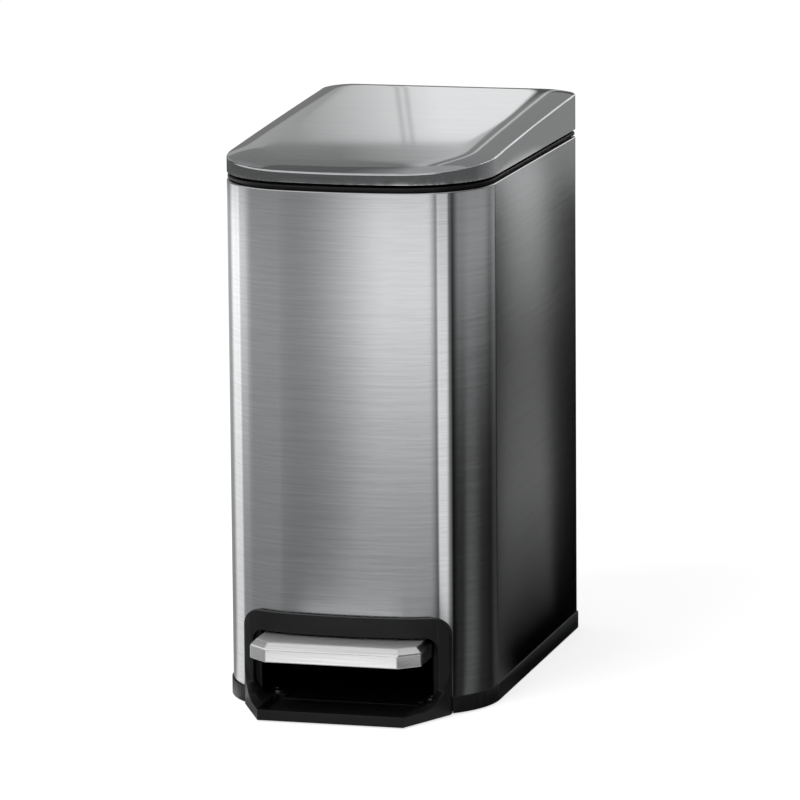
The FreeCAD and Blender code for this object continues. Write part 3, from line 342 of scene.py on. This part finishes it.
def plated_steel(name, tint, roughness):
    """Zinc plating: cloudy, slightly uneven in tint, with fine pits."""
    material, shade = new_finish(name)
    cloud = shade.noise((90, 90, 90), detail=5.0, roughness=0.6)
    pits = shade.noise((2600, 2600, 2600), detail=2.0)
    cool = [tint[0] * 0.9, tint[1] * 0.95, min(1.0, tint[2] * 1.04)]
    colour = shade.blend(shade.remap(cloud, 0.3, 0.7), tone(cool, 0.94), tone(tint, 1.08))
    rough = roughness + (cloud - 0.5) * 0.16 + (pits - 0.5) * 0.1
    shade.surface(shade.node("ShaderNodeBsdfPrincipled", None, {
        "Base Color": colour, "Metallic": 1.0, "Roughness": rough, "Normal": shade.bump(pits, 3e-6)}))
    return material


def coated_steel(name, tint, edge):
    """Pressed steel under a black coating with an orange-peel surface."""
    material, shade = new_finish(name)
    peel = shade.noise((900, 900, 900), detail=2.0)
    dust = shade.noise((60, 60, 60), detail=5.0, roughness=0.7)
    colour = shade.blend(shade.remap(dust, 0.35, 0.75), tone(tint, 0.8), tone(tint, 1.5))
    rough = 0.36 + (dust - 0.5) * 0.2 + (peel - 0.5) * 0.06
    normal = shade.bump(peel, 1.2e-5, shade.soft_edge(edge))
    shade.surface(shade.node("ShaderNodeBsdfPrincipled", None, {
        "Base Color": colour, "Roughness": rough, "Normal": normal}))
    return material


def moulded_rubber(name, tint):
    """Matt rubber with a dusty bloom."""
    material, shade = new_finish(name)
    bloom = shade.noise((120, 120, 120), detail=5.0, roughness=0.7)
    pores = shade.noise((2200, 2200, 2200), detail=2.0)
    colour = shade.blend(shade.remap(bloom, 0.35, 0.75), tone(tint, 0.8), tone(tint, 1.7))
    rough = 0.78 + (bloom - 0.5) * 0.2
    shade.surface(shade.node("ShaderNodeBsdfPrincipled", None, {
        "Base Color": colour, "Roughness": rough, "Normal": shade.bump(pores, 2e-5)}))
    return material


def merged(node):
    """A copy of a solid's loose triangles, joined into one closed mesh."""
    form = bmesh.new()
    form.from_mesh(frame["nodes"][node].data)
    bmesh.ops.remove_doubles(form, verts=form.verts, dist=MERGE_DISTANCE)
    return form


def finished_mesh(form, name, crease):
    """The mesh of a form, shaded smooth but for its creases, with large faces kept flat."""
    mesh = bpy.data.meshes.new(name)
    form.to_mesh(mesh)
    form.free()
    mesh.shade_smooth()
    mesh.set_sharp_from_angle(angle=math.radians(crease))
    trial = bpy.data.objects.new(name + "_trial", mesh)
    bpy.context.scene.collection.objects.link(trial)
    weighted = trial.modifiers.new("weighted", "WEIGHTED_NORMAL")
    weighted.keep_sharp = True
    evaluated = trial.evaluated_get(bpy.context.evaluated_depsgraph_get())
    result = bpy.data.meshes.new_from_object(evaluated)
    bpy.data.objects.remove(trial)
    bpy.data.meshes.remove(mesh)
    result.name = name
    return result


def put_on(mesh, node, material):
    """Show a finished mesh in place of a solid, on the solid's own body."""
    piece = bpy.data.objects.new(node + "_skin", mesh)
    bpy.context.scene.collection.objects.link(piece)
    mesh.materials.clear()
    mesh.materials.append(material)
    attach(piece, frame["nodes"][node]["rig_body"])
    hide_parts(node)
    return piece


def dress(nodes, material):
    for node in nodes:
        put_on(finished_mesh(merged(node), node + "_skin", CREASE), node, material)


class PEDALBIN_OT_stage(bpy.types.Operator):
    """Make the floor, the studio surround, the light and the camera"""

    bl_idname = "pedalbin.stage"
    bl_label = "Stage"

    def execute(self, context):
        stage = context.scene.bin_stage
        context.scene.view_settings.view_transform = "Standard"
        make_world(context.scene, stage.ambient)
        make_floor(stage.floor_size)
        make_surround(stage)
        make_ceiling(stage)
        make_key_light(stage)
        make_camera(context.scene, stage)
        return {"FINISHED"}


def seen_directly(shade):
    """1 for rays that come from the camera or off a shiny surface, otherwise 0."""
    path = "ShaderNodeLightPath"
    camera = shade.node(path, output="Is Camera Ray")
    glossy = shade.node(path, output="Is Glossy Ray")
    clear = shade.node(path, output="Is Transmission Ray")
    return camera.or_more(glossy).or_more(clear)


def make_world(scene, ambient):
    world = bpy.data.worlds.new("studio_white")
    world.use_nodes = True
    scene.world = world
    shade = Shade(world.node_tree)
    strength = ambient + seen_directly(shade) * (1 - ambient)
    background = shade.node("ShaderNodeBackground", None,
                            {"Color": (1, 1, 1, 1), "Strength": strength})
    shade.node("ShaderNodeOutputWorld", None, {"Surface": background})


def flat_piece(name, form, material):
    mesh = bpy.data.meshes.new(name)
    form.to_mesh(mesh)
    form.free()
    mesh.materials.append(material)
    piece = bpy.data.objects.new(name, mesh)
    bpy.context.scene.collection.objects.link(piece)
    return piece


def make_floor(size):
    material, shade = new_finish("studio_floor")
    speck = shade.noise((3, 3, 3), detail=2.0)
    colour = shade.blend(speck, (0.44, 0.44, 0.44, 1), (0.46, 0.46, 0.46, 1))
    matt = shade.node("ShaderNodeBsdfDiffuse", None, {"Color": colour})
    glow = shade.node("ShaderNodeEmission", None,
                      {"Color": (1, 1, 1, 1), "Strength": seen_directly(shade) * FLOOR_GLOW})
    shade.surface(shade.node("ShaderNodeAddShader", None, {0: matt, 1: glow}))
    form = bmesh.new()
    bmesh.ops.create_grid(form, x_segments=1, y_segments=1, size=size / 2)
    flat_piece("studio_floor", form, material)


def make_surround(stage):
    """Floor card and round wall that only shiny surfaces see, graded as a studio with soft panels."""
    material, shade = new_finish("studio_surround")
    x, y, z = shade.spot_axes()
    glow = front_lights(shade, x, y, z) + side_light(shade, x, y) + back_panel(shade, x, y, z, stage)
    shade.surface(shade.node("ShaderNodeEmission", None, {"Color": (1, 1, 1, 1), "Strength": glow}))
    wall = bmesh.new()
    bmesh.ops.create_cone(wall, cap_ends=False, segments=96, radius1=stage.surround_radius,
                          radius2=stage.surround_radius, depth=stage.surround_height,
                          matrix=Matrix.Translation((0, 0, stage.surround_height / 2)))
    card = bmesh.new()
    bmesh.ops.create_circle(card, cap_ends=True, segments=96, radius=stage.surround_radius,
                            matrix=Matrix.Translation((0, 0, CARD_LIFT)))
    shiny_only("surround_wall", wall, material)
    shiny_only("surround_floor", card, material)


def make_ceiling(stage):
    """Ceiling that only shiny surfaces see, brighter over the front, dim over the left rear."""
    material, shade = new_finish("studio_ceiling")
    x, y = shade.spot_axes()[:2]
    front = 1 - shade.remap(y, 0.0, 0.15, smooth=True)
    rear = shade.remap(x, -0.75, -0.5, 0.15, 0.45)
    glow = rear + front * (0.68 - rear)
    shade.surface(shade.node("ShaderNodeEmission", None, {"Color": (1, 1, 1, 1), "Strength": glow}))
    cover = bmesh.new()
    bmesh.ops.create_circle(cover, cap_ends=True, segments=96, radius=stage.surround_radius,
                            matrix=Matrix.Translation((0, 0, stage.surround_height)))
    shiny_only("surround_ceiling", cover, material)


def shiny_only(name, form, material):
    material.cycles.emission_sampling = "NONE"
    piece = flat_piece(name, form, material)
    piece.visible_camera = False
    piece.visible_diffuse = False
    piece.visible_transmission = False
    piece.visible_volume_scatter = False
    piece.visible_shadow = False


def between(shade, wire, start, start_soft, end, end_soft):
    """1 between two values, with a soft step at each."""
    rises = shade.remap(wire, start - start_soft / 2, start + start_soft / 2, smooth=True)
    falls = shade.remap(wire, end - end_soft / 2, end + end_soft / 2, smooth=True)
    return rises * (1 - falls)


def front_lights(shade, x, y, z):
    """Panels and strips that stand round the front, as the bin's front corners see them."""
    out_x = x - x.or_more(CORNER_LEFT).or_less(CORNER_RIGHT)
    out_y = y - CORNER_Y
    bearing = x.maths("ARCTAN2", out_x, 0 - out_y) * math.degrees(1)
    away = (out_x * out_x + out_y * out_y) ** 0.5
    reach = shade.remap(away, *REACH)
    glow = between(shade, x, *TREAD_GLOW_X) * between(shade, y, *TREAD_GLOW_Y) * TREAD_GLOW
    for start, start_soft, end, end_soft, near, far, lateness in SURROUND_LIGHTS.values():
        share = between(shade, bearing, start, start_soft, end, end_soft)
        glow = glow + share * (near + (reach ** lateness) * (far - near))
    card = between(shade, x, *TREAD_CARD_X) * between(shade, y, *TREAD_CARD_Y)
    glow = glow * (1 - card * TREAD_CARD_SHADE)
    front_wall = shade.remap(z, 0.15, 0.4, 0.0, 0.7) * between(shade, bearing, *FRONT_WALL)
    dusk = shade.remap(bearing, 110, 160, 0.13, 0.30) + front_wall
    return glow + shade.remap(away, *HORIZON) * (dusk * between(shade, bearing, *DUSK) - glow)


def side_light(shade, x, y):
    """Long floor panel behind the right, which shows upright on the bin's right side."""
    away = (x - SIDE_X) * SIDE_SLANT
    along = y - away
    near = shade.remap(away, 0.08, 0.5, 0.0, 0.165)
    far = shade.remap(away, 1.03, 1.7, 0.0, 0.46)
    panel = between(shade, along, *SIDE_PANEL) * shade.remap(along, 0.02, 0.05, 0.95, 1.2)
    dim = between(shade, along, *SIDE_DIM) * 0.04
    return (1 - shade.remap(away, *HORIZON)) * (panel + dim) * (near + far)


def back_panel(shade, x, y, z, stage):
    """Panel behind, which shows on the lid's top: bright, dimmer over its upper edge and to the left."""
    top = stage.panel_top
    behind = shade.remap(y, 1.4, 1.6, smooth=True) * (1 - shade.remap(x, 0.0, 0.15, smooth=True))
    upright = between(shade, z, *BACK_PANEL_FOOT, top, BACK_PANEL_EDGE)
    inside = upright * between(shade, x, *BACK_PANEL_X)
    seams = between(shade, x, *BACK_SEAMS[0]) + between(shade, x, *BACK_SEAMS[1])
    gleam = between(shade, x, *BACK_GLEAM) * 0.35
    bright = shade.remap(x, -0.735, -0.60, 0.42, 1.0) * (1 - seams * 0.3)
    above = shade.remap(z, top - 0.1, top, smooth=True)
    fade = 1 - shade.remap(x, -0.53, -0.50) * 0.5
    dull = (0.22 + above * shade.remap(x, -0.70, -0.58, 0.03, 0.36)) * fade
    rim = between(shade, x, *RIM_LIGHT) * shade.remap(z, 0.35, 0.5) * shade.remap(y, 1.2, 1.4) * 0.9
    return rim + behind * shade.remap(z, 0.05, 0.3) * (dull + gleam + inside * (bright - dull))


def aimed(spot, aim, roll=0.0):
    """Matrix of something at a spot that looks at an aim along its own -Z."""
    back = (Vector(spot) - Vector(aim)).normalized()
    right = Vector((0, 0, 1)).cross(back).normalized()
    up = back.cross(right)
    turned_right = right * math.cos(roll) + up * math.sin(roll)
    turned_up = up * math.cos(roll) - right * math.sin(roll)
    turn = Matrix((turned_right, turned_up, back)).transposed().to_4x4()
    return Matrix.Translation(spot) @ turn


def make_key_light(stage):
    light = bpy.data.lights.new("key_light", "AREA")
    light.size = stage.key_size
    light.energy = stage.key_power
    lamp = bpy.data.objects.new("key_light", light)
    lamp.matrix_world = aimed(KEY_SPOT, KEY_AIM)
    lamp.visible_glossy = False
    bpy.context.scene.collection.objects.link(lamp)


def make_camera(scene, stage):
    data = bpy.data.cameras.new("photo_camera")
    data.lens = stage.lens
    data.sensor_width = 36.0
    camera = bpy.data.objects.new("photo_camera", data)
    camera.matrix_world = aimed(stage.camera_spot, stage.aim_spot, stage.camera_roll)
    scene.collection.objects.link(camera)
    scene.camera = camera


class PEDALBIN_OT_body(bpy.types.Operator):
    """Dress the steel body in brushed stainless steel"""

    bl_idname = "pedalbin.body"
    bl_label = "Steel Body"

    def execute(self, context):
        finish = context.scene.bin_finish
        lines = 1 / finish.brush_pitch
        steel = brushed_steel("body_brushed_steel", finish.body_tint, (22, 22, lines), 0.10, 0.03,
                              anisotropy=1.0, bump=4e-7)
        dress(["outer_shell"], steel)
        return {"FINISHED"}


class PEDALBIN_OT_lid(bpy.types.Operator):
    """Dress the lid, with the slight camber of its top"""

    bl_idname = "pedalbin.lid"
    bl_label = "Steel Lid"

    def execute(self, context):
        shape = context.scene.bin_shape
        finish = context.scene.bin_finish
        lines = 1 / finish.brush_pitch
        steel = brushed_steel("lid_brushed_steel", finish.lid_tint, (18, lines, lines), 0.045, 0.02,
                              bump=1.5e-7)
        mesh = finished_mesh(cambered_lid(shape), "lid_shell_skin", CREASE)
        ease_normals(mesh, shape.easing_reach)
        put_on(mesh, "lid_shell", steel)
        return {"FINISHED"}


def cambered_lid(shape):
    """The lid, with its top cut both ways at a fine pitch and swelled by its camber."""
    form = merged("lid_shell")
    low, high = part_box("lid_shell")
    depth = high.y - low.y
    for axis in (0, 1):
        cuts = int((high[axis] - low[axis]) / shape.camber_pitch)
        across = Vector([float(axis == part) for part in range(3)])
        for number in range(1, cuts):
            bmesh.ops.bisect_plane(form, geom=top_geometry(form), plane_co=low.lerp(high, number / cuts),
                                   plane_no=across)
    bmesh.ops.dissolve_degenerate(form, edges=form.edges[:], dist=PICK_DISTANCE)
    front = [vert for vert in form.verts if vert.co.y < low.y + PICK_DISTANCE]
    front_height = max(vert.co.z for vert in front) - low.z
    bent = depth - shape.camber_end
    for vert in form.verts:
        along = (vert.co.y - low.y) / depth
        wall_height = front_height + (high.z - low.z - front_height) * along
        share = min(1.0, (vert.co.z - low.z) / wall_height)
        bend = min(1.0, (vert.co.y - low.y) / bent)
        vert.co.z += shape.lid_camber * share * (1 - (2 * bend - 1) ** 2)
    return form


def top_geometry(form):
    faces = [face for face in form.faces if face.normal.z > TOP_FACING]
    edges = {edge for face in faces for edge in face.edges}
    verts = {vert for face in faces for vert in face.verts}
    return faces + list(edges) + list(verts)


def ease_normals(mesh, reach):
    """Even out the normals of the top, whose small facets would break up what it reflects."""
    top = [face for face in mesh.polygons if face.normal.z > TOP_FACING]
    near = KDTree(len(top))
    for number, face in enumerate(top):
        near.insert(face.center, number)
    near.balance()
    eased = {}
    corners = [corner.vector.copy() for corner in mesh.corner_normals]
    for face in top:
        for loop in face.loop_indices:
            vert = mesh.loops[loop].vertex_index
            if vert not in eased:
                total = Vector()
                for spot, number, distance in near.find_range(mesh.vertices[vert].co, reach):
                    share = top[number].area * (1 - (distance / reach) ** 2) ** 2
                    total += top[number].normal * share
                eased[vert] = total.normalized()
            corners[loop] = eased[vert]
    mesh.normals_split_custom_set(corners)


class PEDALBIN_OT_tread(bpy.types.Operator):
    """Dress the pedal's steel tread and round its edges"""

    bl_idname = "pedalbin.tread"
    bl_label = "Pedal Tread"

    def execute(self, context):
        shape = context.scene.bin_shape
        finish = context.scene.bin_finish
        lines = 1 / finish.brush_pitch
        low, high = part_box("pedal_cap")
        steel = brushed_steel("tread_satin_steel", finish.tread_tint, (25, lines, lines), 0.22, 0.06,
                              satin_above=high.z - 0.0002)
        form = merged("pedal_cap")
        bmesh.ops.dissolve_limit(form, angle_limit=math.radians(1), verts=form.verts[:],
                                 edges=form.edges[:])
        sharp = [edge for edge in form.edges
                 if len(edge.link_faces) == 2 and edge.calc_face_angle() > math.radians(20)]
        bmesh.ops.bevel(form, geom=sharp, offset=shape.tread_edge, segments=4, profile=0.5,
                        affect="EDGES", clamp_overlap=True)
        put_on(finished_mesh(form, "pedal_cap_skin", TREAD_CREASE), "pedal_cap", steel)
        return {"FINISHED"}


class PEDALBIN_OT_mouldings(bpy.types.Operator):
    """Dress the black mouldings: surround, base, collar, lid liner and mechanism cover"""

    bl_idname = "pedalbin.mouldings"
    bl_label = "Black Mouldings"

    def execute(self, context):
        shape = context.scene.bin_shape
        finish = context.scene.bin_finish
        plastic = moulded_plastic("black_moulded_plastic", finish.plastic_tint, 0.4, finish.grain_pitch,
                                  1.5e-5, shape.moulding_edge, specular=0.28)
        dress(["pedal_surround", "base_tray", "top_collar", "lid_liner", "mechanism_cover"],
              plastic)
        return {"FINISHED"}


class PEDALBIN_OT_bucket(bpy.types.Operator):
    """Dress the lift-out bucket"""

    bl_idname = "pedalbin.bucket"
    bl_label = "Bucket"

    def execute(self, context):
        shape = context.scene.bin_shape
        finish = context.scene.bin_finish
        plastic = moulded_plastic("bucket_grained_plastic", finish.bucket_tint, 0.5,
                                  finish.grain_pitch * 1.6, 3e-5, shape.moulding_edge)
        dress(["inner_bucket"], plastic)
        return {"FINISHED"}


class PEDALBIN_OT_linkage(bpy.types.Operator):
    """Dress the coated lever and crank and the plated push rod"""

    bl_idname = "pedalbin.linkage"
    bl_label = "Lever, Crank and Rod"

    def execute(self, context):
        shape = context.scene.bin_shape
        finish = context.scene.bin_finish
        coated = coated_steel("lever_black_coating", finish.coating_tint, shape.moulding_edge / 2)
        dress(["pedal_lever", "lid_crank"], coated)
        plated = plated_steel("rod_zinc_plating", finish.zinc_tint, 0.34)
        dress(["push_rod"], plated)
        return {"FINISHED"}


class PEDALBIN_OT_pins(bpy.types.Operator):
    """Dress the hinge pin, the pedal axle and their retaining clips"""

    bl_idname = "pedalbin.pins"
    bl_label = "Pins and Clips"

    def execute(self, context):
        finish = context.scene.bin_finish
        plated = plated_steel("pin_zinc_plating", finish.zinc_tint, 0.28)
        dress(["hinge_pin", "hinge_pin_clips", "pedal_axle", "pedal_axle_clips", "rod_clips"],
              plated)
        return {"FINISHED"}


class PEDALBIN_OT_damper(bpy.types.Operator):
    """Dress the damper and the nylon guide of the rod"""

    bl_idname = "pedalbin.damper"
    bl_label = "Damper and Guide"

    def execute(self, context):
        shape = context.scene.bin_shape
        finish = context.scene.bin_finish
        grey = moulded_plastic("damper_grey_plastic", finish.damper_tint, 0.42, finish.grain_pitch,
                               1e-5, shape.moulding_edge / 2)
        dress(["damper_bracket", "damper_cylinder", "damper_piston", "damper_link"], grey)
        nylon = moulded_plastic("guide_natural_nylon", finish.nylon_tint, 0.38, finish.grain_pitch,
                                8e-6, shape.moulding_edge / 2)
        dress(["rod_guide"], nylon)
        return {"FINISHED"}


class PEDALBIN_OT_rubber(bpy.types.Operator):
    """Dress the rubber feet and the lid's bumpers"""

    bl_idname = "pedalbin.rubber"
    bl_label = "Feet and Bumpers"

    def execute(self, context):
        finish = context.scene.bin_finish
        rubber = moulded_rubber("matt_black_rubber", finish.rubber_tint)
        dress(["rubber_feet", "lid_bumpers"], rubber)
        return {"FINISHED"}


class PEDALBIN_OT_screws(bpy.types.Operator):
    """Make the screws, with domed heads and a cross recess, where the solids have them"""

    bl_idname = "pedalbin.screws"
    bl_label = "Screws"

    def execute(self, context):
        shape = context.scene.bin_shape
        finish = context.scene.bin_finish
        plated = plated_steel("screw_zinc_plating", finish.zinc_tint, 0.3)
        tree = screw_tree()
        for node in ("surround_screws", "cover_screws", "crank_screws"):
            mesh = screw_mesh(tree, node, shape.recess_width, plated)
            put_on(mesh, node, plated)
        return {"FINISHED"}


def screw_tree():
    """Geometry nodes that put a screw on each point, its head upwards from the point."""
    tree = bpy.data.node_groups.new("screw_on_points", "GeometryNodeTree")
    tree.is_modifier = True
    plug = tree.interface
    plug.new_socket("Geometry", in_out="OUTPUT", socket_type="NodeSocketGeometry")
    plug.new_socket("Points", in_out="INPUT", socket_type="NodeSocketGeometry")
    for name in ("Head Radius", "Head Height", "Shank Radius", "Shank Length", "Recess Width"):
        plug.new_socket(name, in_out="INPUT", socket_type="NodeSocketFloat")
    plug.new_socket("Turn", in_out="INPUT", socket_type="NodeSocketVector")
    plug.new_socket("Finish", in_out="INPUT", socket_type="NodeSocketMaterial")
    shade = Shade(tree)
    given = shade.node("NodeGroupInput").socket.node.outputs

    def given_wire(name):
        return Wire(shade, given[name])

    def raised(geometry, height):
        offset = shade.node("ShaderNodeCombineXYZ", None, {2: height})
        return shade.node("GeometryNodeTransform", None, {"Geometry": geometry, "Translation": offset})

    def joined(*pieces):
        join = shade.node("GeometryNodeJoinGeometry")
        for piece in pieces:
            tree.links.new(piece.socket, join.socket.node.inputs[0])
        return join

    head_radius = given_wire("Head Radius")
    head_height = given_wire("Head Height")
    shank_radius = given_wire("Shank Radius")
    shank_length = given_wire("Shank Length")
    width = given_wire("Recess Width")
    skirt = shade.node("GeometryNodeMeshCone", None, {
        "Vertices": 40, "Radius Top": head_radius, "Radius Bottom": head_radius,
        "Depth": head_height * 0.5})
    dome = shade.node("GeometryNodeMeshCone", None, {
        "Vertices": 40, "Side Segments": 3, "Radius Top": head_radius * 0.62, "Radius Bottom": head_radius,
        "Depth": head_height * 0.5})
    shank = shade.node("GeometryNodeMeshCylinder", None, {
        "Vertices": 24, "Radius": shank_radius, "Depth": shank_length})
    solid = joined(skirt, raised(dome, head_height * 0.5))
    bar_length = head_radius * 1.15
    bar_depth = head_height * 0.9
    long_bar = shade.node("ShaderNodeCombineXYZ", None, {0: bar_length, 1: width, 2: bar_depth})
    cross_bar = shade.node("ShaderNodeCombineXYZ", None, {0: width, 1: bar_length, 2: bar_depth})
    bars = joined(shade.node("GeometryNodeMeshCube", None, {"Size": long_bar}),
                  shade.node("GeometryNodeMeshCube", None, {"Size": cross_bar}))
    recess = raised(bars, head_height)
    carved = shade.node("GeometryNodeMeshBoolean", {"operation": "DIFFERENCE", "solver": "EXACT"},
                        {"Mesh 1": solid, "Mesh 2": recess, "Self Intersection": True})
    screw = joined(carved, raised(shank, shank_length * -0.5))
    placed = shade.node("GeometryNodeInstanceOnPoints", None, {
        "Points": given_wire("Points"), "Instance": screw, "Rotation": given_wire("Turn")})
    real = shade.node("GeometryNodeRealizeInstances", None, {"Geometry": placed})
    finished = shade.node("GeometryNodeSetMaterial", None,
                          {"Geometry": real, "Material": given_wire("Finish")})
    shade.node("NodeGroupOutput", None, {0: finished})
    return tree


def screw_mesh(tree, node, recess_width, material):
    """Screws as one mesh, sized and placed by the pair of solids they stand for."""
    low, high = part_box(node)
    spots = [vert.co for vert in frame["nodes"][node].data.vertices]
    centres = []
    for side in (-1, 1):
        own = [spot for spot in spots if spot.x * side > 0]
        x = (min(spot.x for spot in own) + max(spot.x for spot in own)) / 2
        y = (min(spot.y for spot in own) + max(spot.y for spot in own)) / 2
        centres.append((x, y))
    first = Vector(centres[0])

    def radius_near(z):
        return max((spot.xy - first).length for spot in spots
                   if spot.x < 0 and abs(spot.z - z) < PICK_DISTANCE)

    upright = radius_near(low.z) < radius_near(high.z) + PICK_DISTANCE
    tip = low.z if upright else high.z
    shank = radius_near(tip)
    widest = max((spot.xy - first).length for spot in spots if spot.x < 0)
    rim = [spot for spot in spots if spot.x < 0 and (spot.xy - first).length > widest - PICK_DISTANCE]
    seats = [spot.z for spot in rim]
    seat = min(seats) if upright else max(seats)
    crown = high.z if upright else low.z
    mesh = bpy.data.meshes.new(node + "_points")
    mesh.from_pydata([(x, y, seat) for x, y in centres], [], [])
    trial = bpy.data.objects.new(node + "_trial", mesh)
    bpy.context.scene.collection.objects.link(trial)
    maker = trial.modifiers.new("screws", "NODES")
    maker.node_group = tree
    values = {
        "Head Radius": widest,
        "Head Height": abs(crown - seat),
        "Shank Radius": shank,
        "Shank Length": abs(seat - tip),
        "Recess Width": recess_width,
        "Turn": (0.0 if upright else math.pi, 0.0, 0.0),
        "Finish": material,
    }
    for item in tree.interface.items_tree:
        if item.name in values:
            maker[item.identifier] = values[item.name]
    evaluated = trial.evaluated_get(bpy.context.evaluated_depsgraph_get())
    result = bpy.data.meshes.new_from_object(evaluated)
    trial.modifiers.remove(maker)
    bpy.data.objects.remove(trial)
    result.name = node + "_skin"
    result.shade_smooth()
    result.set_sharp_from_angle(angle=math.radians(SCREW_CREASE))
    return result


class PEDALBIN_PT_panel(bpy.types.Panel):
    """Sizes, finishes and pieces of the pedal bin"""

    bl_idname = "PEDALBIN_PT_panel"
    bl_label = "Pedal Bin"
    bl_space_type = "VIEW_3D"
    bl_region_type = "UI"
    bl_category = "Pedal Bin"

    def draw(self, context):
        for group in (context.scene.bin_shape, context.scene.bin_finish, context.scene.bin_stage):
            box = self.layout.box()
            for name in group.__annotations__:
                box.prop(group, name)
        for operator in OPERATORS:
            self.layout.operator(operator.bl_idname)


SETTINGS = {"bin_shape": BinShapeSettings, "bin_finish": BinFinishSettings, "bin_stage": BinStageSettings}
OPERATORS = (
    PEDALBIN_OT_stage,
    PEDALBIN_OT_body,
    PEDALBIN_OT_lid,
    PEDALBIN_OT_tread,
    PEDALBIN_OT_mouldings,
    PEDALBIN_OT_bucket,
    PEDALBIN_OT_linkage,
    PEDALBIN_OT_pins,
    PEDALBIN_OT_damper,
    PEDALBIN_OT_rubber,
    PEDALBIN_OT_screws,
)


def register():
    for name, group in SETTINGS.items():
        bpy.utils.register_class(group)
        setattr(bpy.types.Scene, name, PointerProperty(type=group))
    for operator in OPERATORS:
        bpy.utils.register_class(operator)
    bpy.utils.register_class(PEDALBIN_PT_panel)


def unregister():
    bpy.utils.unregister_class(PEDALBIN_PT_panel)
    for operator in reversed(OPERATORS):
        bpy.utils.unregister_class(operator)
    for name, group in SETTINGS.items():
        delattr(bpy.types.Scene, name)
        bpy.utils.unregister_class(group)


def main():
    register()
    for operator in OPERATORS:
        family, name = operator.bl_idname.split(".")
        getattr(getattr(bpy.ops, family), name)()


if __name__ == "__main__":
    main()
